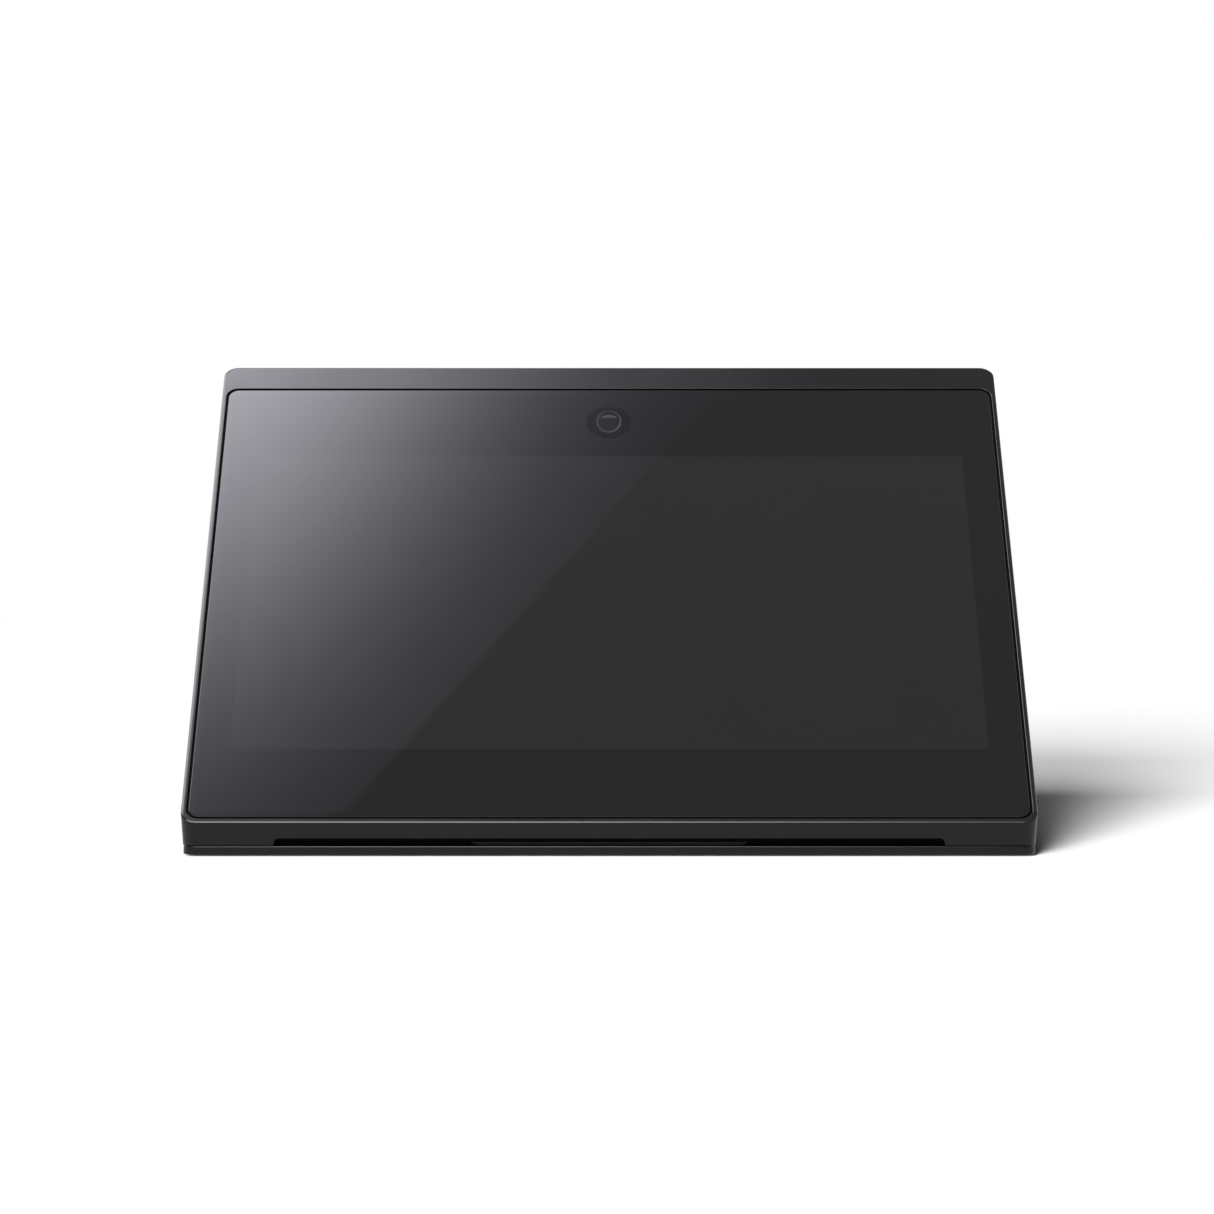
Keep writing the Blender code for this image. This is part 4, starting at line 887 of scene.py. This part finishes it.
def build_sockets():
    """The barrel socket with its sleeve and pin, and two shielded sockets with tongues."""
    mouth_y = PORT_FLOOR + 0.0004

    def socket(node, name, opening, look):
        """Cuts the opening, given about the middle of the node's foot, and returns that place."""
        low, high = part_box(node)
        body = rounded_box(low.x, high.x, low.z, high.z, 0.0008)
        x, z, depth = (low.x + high.x) / 2, low.z, 0.009
        mouth = [(x + across, z + up) for across, up in opening]
        made = carved(
            name,
            along_y(prism(body, low.y, mouth_y)),
            ("DIFFERENCE", along_y(prism(mouth, mouth_y - depth, mouth_y + OUT))),
        )
        soften(finish_piece(made, look, replaces=node), 0.00012)
        return x, z

    bore, bore_z, outer, inner = 0.0029, 0.0055, 0.00288, 0.0026
    x, z = socket("dc_jack", "power_socket", circle(bore, 0, bore_z), "shell_plastic")
    front, back = mouth_y - 0.0004, 0.097
    sleeve = [(inner, back), (outer, back), (outer, front), (inner, front)]
    front, back, radius, shoulder = mouth_y - 0.0012, 0.0965, 0.0008, mouth_y - 0.0016
    pin = [(0, back), (radius, back), (radius, shoulder), (0.0006, front), (0, front)]
    for name, profile, steps in (("sleeve", sleeve, 48), ("pin", pin, 24)):
        shape = along_y(shifted(turned(profile, steps), x, z + bore_z))
        finish_piece(mesh_object(f"power_socket_{name}", shape), "tin_shield")

    wide, half, low, shoulder, high = 0.0068, 0.0053, 0.0007, 0.0022, 0.0053
    opening = [(-half, low), (half, low), (wide, shoulder), (wide, high), (-wide, high), (-wide, shoulder)]
    x, z = socket("hdmi_jack", "video_socket", opening, "tin_shield")
    build_tongue("video_socket", x, z + 0.0030, 0.0050, 0.0010, mouth_y, 10)
    x, z = socket("usb_c_jack", "usb_socket", pill(0, 0.0018, 0.0084, 0.0026), "tin_shield")
    build_tongue("usb_socket", x, z + 0.0015, 0.0032, 0.0006, mouth_y, 12)


def build_tongue(name, x, low, half_width, thick, mouth_y, count):
    """A socket's black tongue with a row of contacts on each face."""
    back, front = mouth_y - 0.0095, mouth_y - 0.0010
    section = rounded_box(x - half_width, x + half_width, low, low + thick, thick * 0.3)
    tongue = mesh_object(f"{name}_tongue", along_y(prism(section, back, front)))
    soften(finish_piece(tongue, "matt_black_plastic"), 0.00008)
    contacts = []
    pitch = 2 * (half_width - 0.0004) / count
    reach, sunk = pitch * 0.28, 0.00004
    for i in range(count):
        centre = x + (i - (count - 1) / 2) * pitch
        for level, step in ((low, -sunk), (low + thick, sunk)):
            near, far = sorted((level - step, level + step))
            contacts.append(box(centre - reach, centre + reach, back + 0.001, front - 0.0006, near, far))
    finish_piece(mesh_object(f"{name}_contacts", merged(*contacts)), "gold_contacts")


# Controls


def cap_levels(outline_at, inside):
    """A cap from its flange out to a dished face with a rounded rim. outline_at takes an inset."""
    rim = 0.0003
    levels = [(outline_at(0.0), inside)]
    levels += [(outline_at(rim * inset), CAP_PROUD - rim * drop) for inset, drop in quarter_round(5)]
    for inset, drop in ((0.0007, 0.00003), (0.0012, 0.0001), (0.0018, CAP_DISH)):
        levels.append((outline_at(inset), CAP_PROUD - drop))
    return levels


def at_control(z, face=CONTROL_FACE):
    return Matrix.Translation((face, CONTROL_Y, z))


def build_controls():
    inside = HALF - WALL - 0.0006 - CONTROL_FACE
    flange, stem = inside - 0.0014, -0.0042

    def cap(name, node, z, outline_at, foot, stem_outline):
        levels = [(stem_outline, stem), (stem_outline, flange), (foot, flange), (foot, inside)]
        levels += cap_levels(outline_at, inside)
        made = mesh_object(name, along_x(stepped(*levels)), at_control(z))
        finish_piece(made, "button_plastic", node, node, sharp=40)

    def round_cap(inset):
        return circle(0.0045 - inset)

    def long_cap(inset):
        return pill(0, 0, 0.0050 - 2 * inset, 0.0120 - 2 * inset, 16)

    cap("power_cap", "power_button", POWER_Z, round_cap, circle(0.0057), circle(0.0012))
    foot, stalk = pill(0, 0, 0.0080, 0.0150, 16), pill(0, 0, 0.0024, 0.0024, 16)
    cap("volume_up_cap", "volume_up_button", VOLUME_UP_Z, long_cap, foot, stalk)
    cap("volume_down_cap", "volume_down_button", VOLUME_DOWN_Z, long_cap, foot, stalk)
    build_switch(inside, flange, stem)
    build_marks()


def build_switch(inside, flange, stem):
    """The sliding knob, with three ribs to push and an orange field above it that shows once it is down."""
    foot, post = pill(0, 0, 0.0080, 0.0196, 16), pill(0, 0, 0.0024, 0.0024, 16)

    def knob(inset, drop):
        return pill(0, 0, 0.0036 - 2 * inset, 0.0050 - 2 * inset, 16), CAP_PROUD - drop

    levels = [(post, stem), (post, flange), (foot, flange), (foot, inside), (knob(0, 0)[0], inside)]
    levels += [knob(0, 0.0004), knob(0.0001, 0.00025), knob(0.0003, 0.00015)]
    shapes = [stepped(*levels)]
    rib = ((0.0024, 0.0006, 0.0003), (0.0023, 0.0005, 0.00005), (0.0021, 0.0003, 0))
    for up in (-0.0011, 0.0, 0.0011):
        shapes.append(stepped(*((pill(0, up, wide, high), CAP_PROUD - drop) for wide, high, drop in rib)))
    place = at_control(SWITCH_Z + SWITCH_TRAVEL / 2)
    made = mesh_object("privacy_knob", along_x(merged(*shapes)), place)
    finish_piece(made, "button_plastic", "privacy_switch", "privacy_switch", sharp=40)
    field = outline(0.0021, 0.0037, 0.0095, (0.0004, 0.0004), (0.0021, 0.0021), 8)
    field = along_x(prism(field, inside - 0.0001, inside + 0.00015))
    finish_piece(mesh_object("privacy_field", field, place), "orange_mark", "privacy_switch")


def build_marks():
    """Printed marks on the caps: a ring and bar for power, a plus and a minus for the volume."""
    thick, thin, long, detail = 0.00006, 0.00026, 0.0018, 4

    def mark(name, body, z, *outlines):
        shapes = [prism(points, 0, thick) for points in outlines]
        made = mesh_object(name, along_x(merged(*shapes)), at_control(z, CONTROL_FACE + CAP_PROUD - CAP_DISH))
        finish_piece(made, "white_marks", body)

    start, turn, steps, inner, outer = math.radians(125), math.radians(290), 32, 0.00125, 0.0015
    angles = [start + turn * i / steps for i in range(steps + 1)]
    arc = [(outer * math.cos(a), outer * math.sin(a)) for a in angles]
    arc += [(inner * math.cos(a), inner * math.sin(a)) for a in reversed(angles)]
    mark("power_mark", "power_button", POWER_Z, arc, pill(0, 0.0011, thin, 0.0013, detail))
    level, upright = pill(0, 0, long, thin, detail), pill(0, 0, thin, long, detail)
    mark("volume_up_mark", "volume_up_button", VOLUME_UP_Z, level, upright)
    mark("volume_down_mark", "volume_down_button", VOLUME_DOWN_Z, level)


# CAD pieces that stay


def dress_frame():
    """Gives every CAD piece the material of its slot, and rounds the edges of the plain ones."""
    plain = {"slot_divider": 0.0002, "mainboard": 0.0001, "power_board": 0.0001, "soc_chip": 0.0002}
    plain |= {"heat_sink": 0.0001, "wireless_module": 0.0002, "woofer_box": 0.0008}
    for part in frame["record"]["subparts"]:
        item = frame["nodes"][part["node"]]
        item.data.materials.clear()
        item.data.materials.append(LOOKS[part["material_slot"]])
        if part["node"] in plain:
            soften(item, plain[part["node"]])


# Stage


def build_floor():
    """A white floor with two broad suns of its own, whose soft shadow falls away behind and to the right."""
    size = 24.0
    shape = [(-size, -size, 0), (size, -size, 0), (size, size, 0), (-size, size, 0)], [(0, 1, 2, 3)]
    floor = mesh_object("studio_floor", shape)
    material, tree, shader, place = start_material("floor", {"Roughness": 1.0, "Specular IOR Level": 0.0})
    slow = noise(tree, place, 0.6, 2.0)
    colour = tinted(tree, slow, (0.100, 0.100, 0.100), (0.1025, 0.1025, 0.1025))
    tree.links.new(colour, shader.inputs["Base Color"])
    floor.data.materials.append(material)
    floor.visible_glossy = False
    floor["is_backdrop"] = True
    receivers = bpy.data.collections.new("floor_only")
    receivers.objects.link(floor)
    for name, azimuth, elevation, width, energy in (
        ("low_sun", 13.7, 8.1, 11.7, 108),
        ("high_sun", 17.0, 21.9, 19.9, 42),
    ):
        sun = bpy.data.lights.new(name, "SUN")
        sun.energy = energy
        sun.angle = math.radians(width)
        lamp = bpy.data.objects.new(name, sun)
        lamp.rotation_euler = sun_turn(azimuth, elevation)
        lamp.light_linking.receiver_collection = receivers
        bpy.context.scene.collection.objects.link(lamp)


def sun_turn(azimuth, elevation):
    """The turn that points a lamp's -Z from a place that is azimuth left of the front and elevation up."""
    a, e = math.radians(azimuth), math.radians(elevation)
    source = Vector((-math.sin(a) * math.cos(e), -math.cos(a) * math.cos(e), math.sin(e)))
    return (-source).to_track_quat("-Z", "Y").to_euler()


def build_overhead_card():
    """A softbox above, only seen as a reflection, that fades from a bright middle to a straight edge."""
    height, base, peak = 1.5, 0.42, 8.8
    corners = [(0.0893, 0.1552), (0.35, 0.4484), (-1.2, 1.2), (-1.2, -1.2), (-1.1122, -1.2)]
    shape = [(x, y, height) for x, y in corners], [tuple(range(len(corners)))]
    card = mesh_object("overhead_card", shape)
    material = bpy.data.materials.new("overhead_card")
    material.use_nodes = True
    tree = material.node_tree
    tree.nodes.remove(tree.nodes["Principled BSDF"])
    place = add(tree, "TexCoord").outputs["Object"]
    mapping = add(tree, "Mapping", {"Vector": place}, vector_type="TEXTURE")
    mapping.inputs["Location"].default_value = (-0.288, 0.291, height)
    mapping.inputs["Rotation"].default_value = (0, 0, math.radians(-28))
    mapping.inputs["Scale"].default_value = (0.1780, 0.3597, 1)
    reach = add(tree, "VectorMath", {0: mapping.outputs[0]}, operation="LENGTH").outputs["Value"]
    square = maths(tree, "POWER", reach, 2.0)
    bell = maths(tree, "EXPONENT", maths(tree, "MULTIPLY", square, -1.0))
    glow = maths(tree, "MULTIPLY_ADD", bell, peak, base)
    lit = add(tree, "Emission", {"Color": (0.925, 0.91, 1.0, 1), "Strength": glow})
    tree.links.new(lit.outputs[0], tree.nodes["Material Output"].inputs["Surface"])
    material.cycles.emission_sampling = "NONE"
    card.data.materials.append(material)
    card.visible_camera = card.visible_diffuse = card.visible_shadow = card.visible_transmission = False
    card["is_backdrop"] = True


def soft_light(name, place, width, height, radiance, receivers):
    """A softbox aimed at the middle of the object, which lights only the receivers."""
    lamp = bpy.data.lights.new(name, "AREA")
    lamp.shape = "RECTANGLE"
    lamp.size, lamp.size_y = width, height
    lamp.energy = radiance * math.pi * width * height
    item = bpy.data.objects.new(name, lamp)
    item.location = place
    aim = Vector((0, 0, 0.1)) - Vector(place)
    item.rotation_euler = aim.to_track_quat("-Z", "Y").to_euler()
    item.light_linking.receiver_collection = receivers
    bpy.context.scene.collection.objects.link(item)


def build_lights():
    """Softboxes for the whole object, and one each for the lens and for the bright edges."""
    uses = ("object_only", "lens_only", "edge_only")
    shell_lit, lens_lit, edge_lit = (bpy.data.collections.new(use) for use in uses)
    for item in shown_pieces():
        (lens_lit if item.name == "camera_front_lens" else shell_lit).objects.link(item)
        if item.name in ("bezel_frame", "base_tray"):
            edge_lit.objects.link(item)
    soft_light("front_softbox", (-0.25, -1.40, 1.85), 1.6, 0.8, 2.5, shell_lit)
    soft_light("edge_softbox", (-0.55, -1.33, 1.50), 1.6, 1.4, 6.2, edge_lit)
    soft_light("left_high_softbox", (-0.78, 0.15, 1.22), 0.7, 0.7, 7.0, shell_lit)
    soft_light("left_softbox", (-1.15, 0.80, 0.90), 0.9, 0.9, 3.5, shell_lit)
    soft_light("right_softbox", (1.25, 0.70, 0.90), 0.8, 0.8, 3.0, shell_lit)
    soft_light("rear_softbox", (0.40, 2.10, 1.50), 1.3, 1.3, 2.2, shell_lit)
    soft_light("lens_softbox", (0.02, -0.93, 2.10), 1.3, 0.30, 4.6, lens_lit)


def build_world():
    """White to the camera. To everything else it is grey, and a little paler below the horizon."""
    world = bpy.data.worlds.new("studio")
    world.use_nodes = True
    tree = world.node_tree
    tree.nodes.clear()
    seen = add(tree, "Background", {"Color": (1, 1, 1, 1), "Strength": 1.0})
    direction = add(tree, "TexCoord").outputs["Generated"]
    height = add(tree, "SeparateXYZ", {"Vector": direction}).outputs["Z"]
    level = between(tree, height, 0.56, 0.42, -0.1, 0.1)
    given = add(tree, "Background", {"Color": (0.98, 0.98, 1.0, 1), "Strength": level})
    rays = add(tree, "LightPath").outputs["Is Camera Ray"]
    mix = add(tree, "MixShader", {0: rays, 1: given.outputs[0], 2: seen.outputs[0]})
    out = add(tree, "OutputWorld")
    tree.links.new(mix.outputs[0], out.inputs["Surface"])
    bpy.context.scene.world = world


def build_view():
    scene = bpy.context.scene
    data = bpy.data.cameras.new("main_view")
    data.sensor_width = 36.0
    data.lens = 120.05
    data.clip_end = 100
    camera = bpy.data.objects.new("main_view", data)
    camera.location = (-0.001, -1.9203, 0.1117)
    camera.rotation_euler = (math.radians(90), 0, 0)
    scene.collection.objects.link(camera)
    scene.camera = camera
    scene.view_settings.view_transform = "Standard"


build_view()
LOOKS = make_looks()
build_bezel()
build_shell()
build_glass()
build_camera()
build_rear_cover()
build_base()
build_feet()
build_screws()
build_sockets()
build_controls()
dress_frame()
build_floor()
build_overhead_card()
build_lights()
build_world()
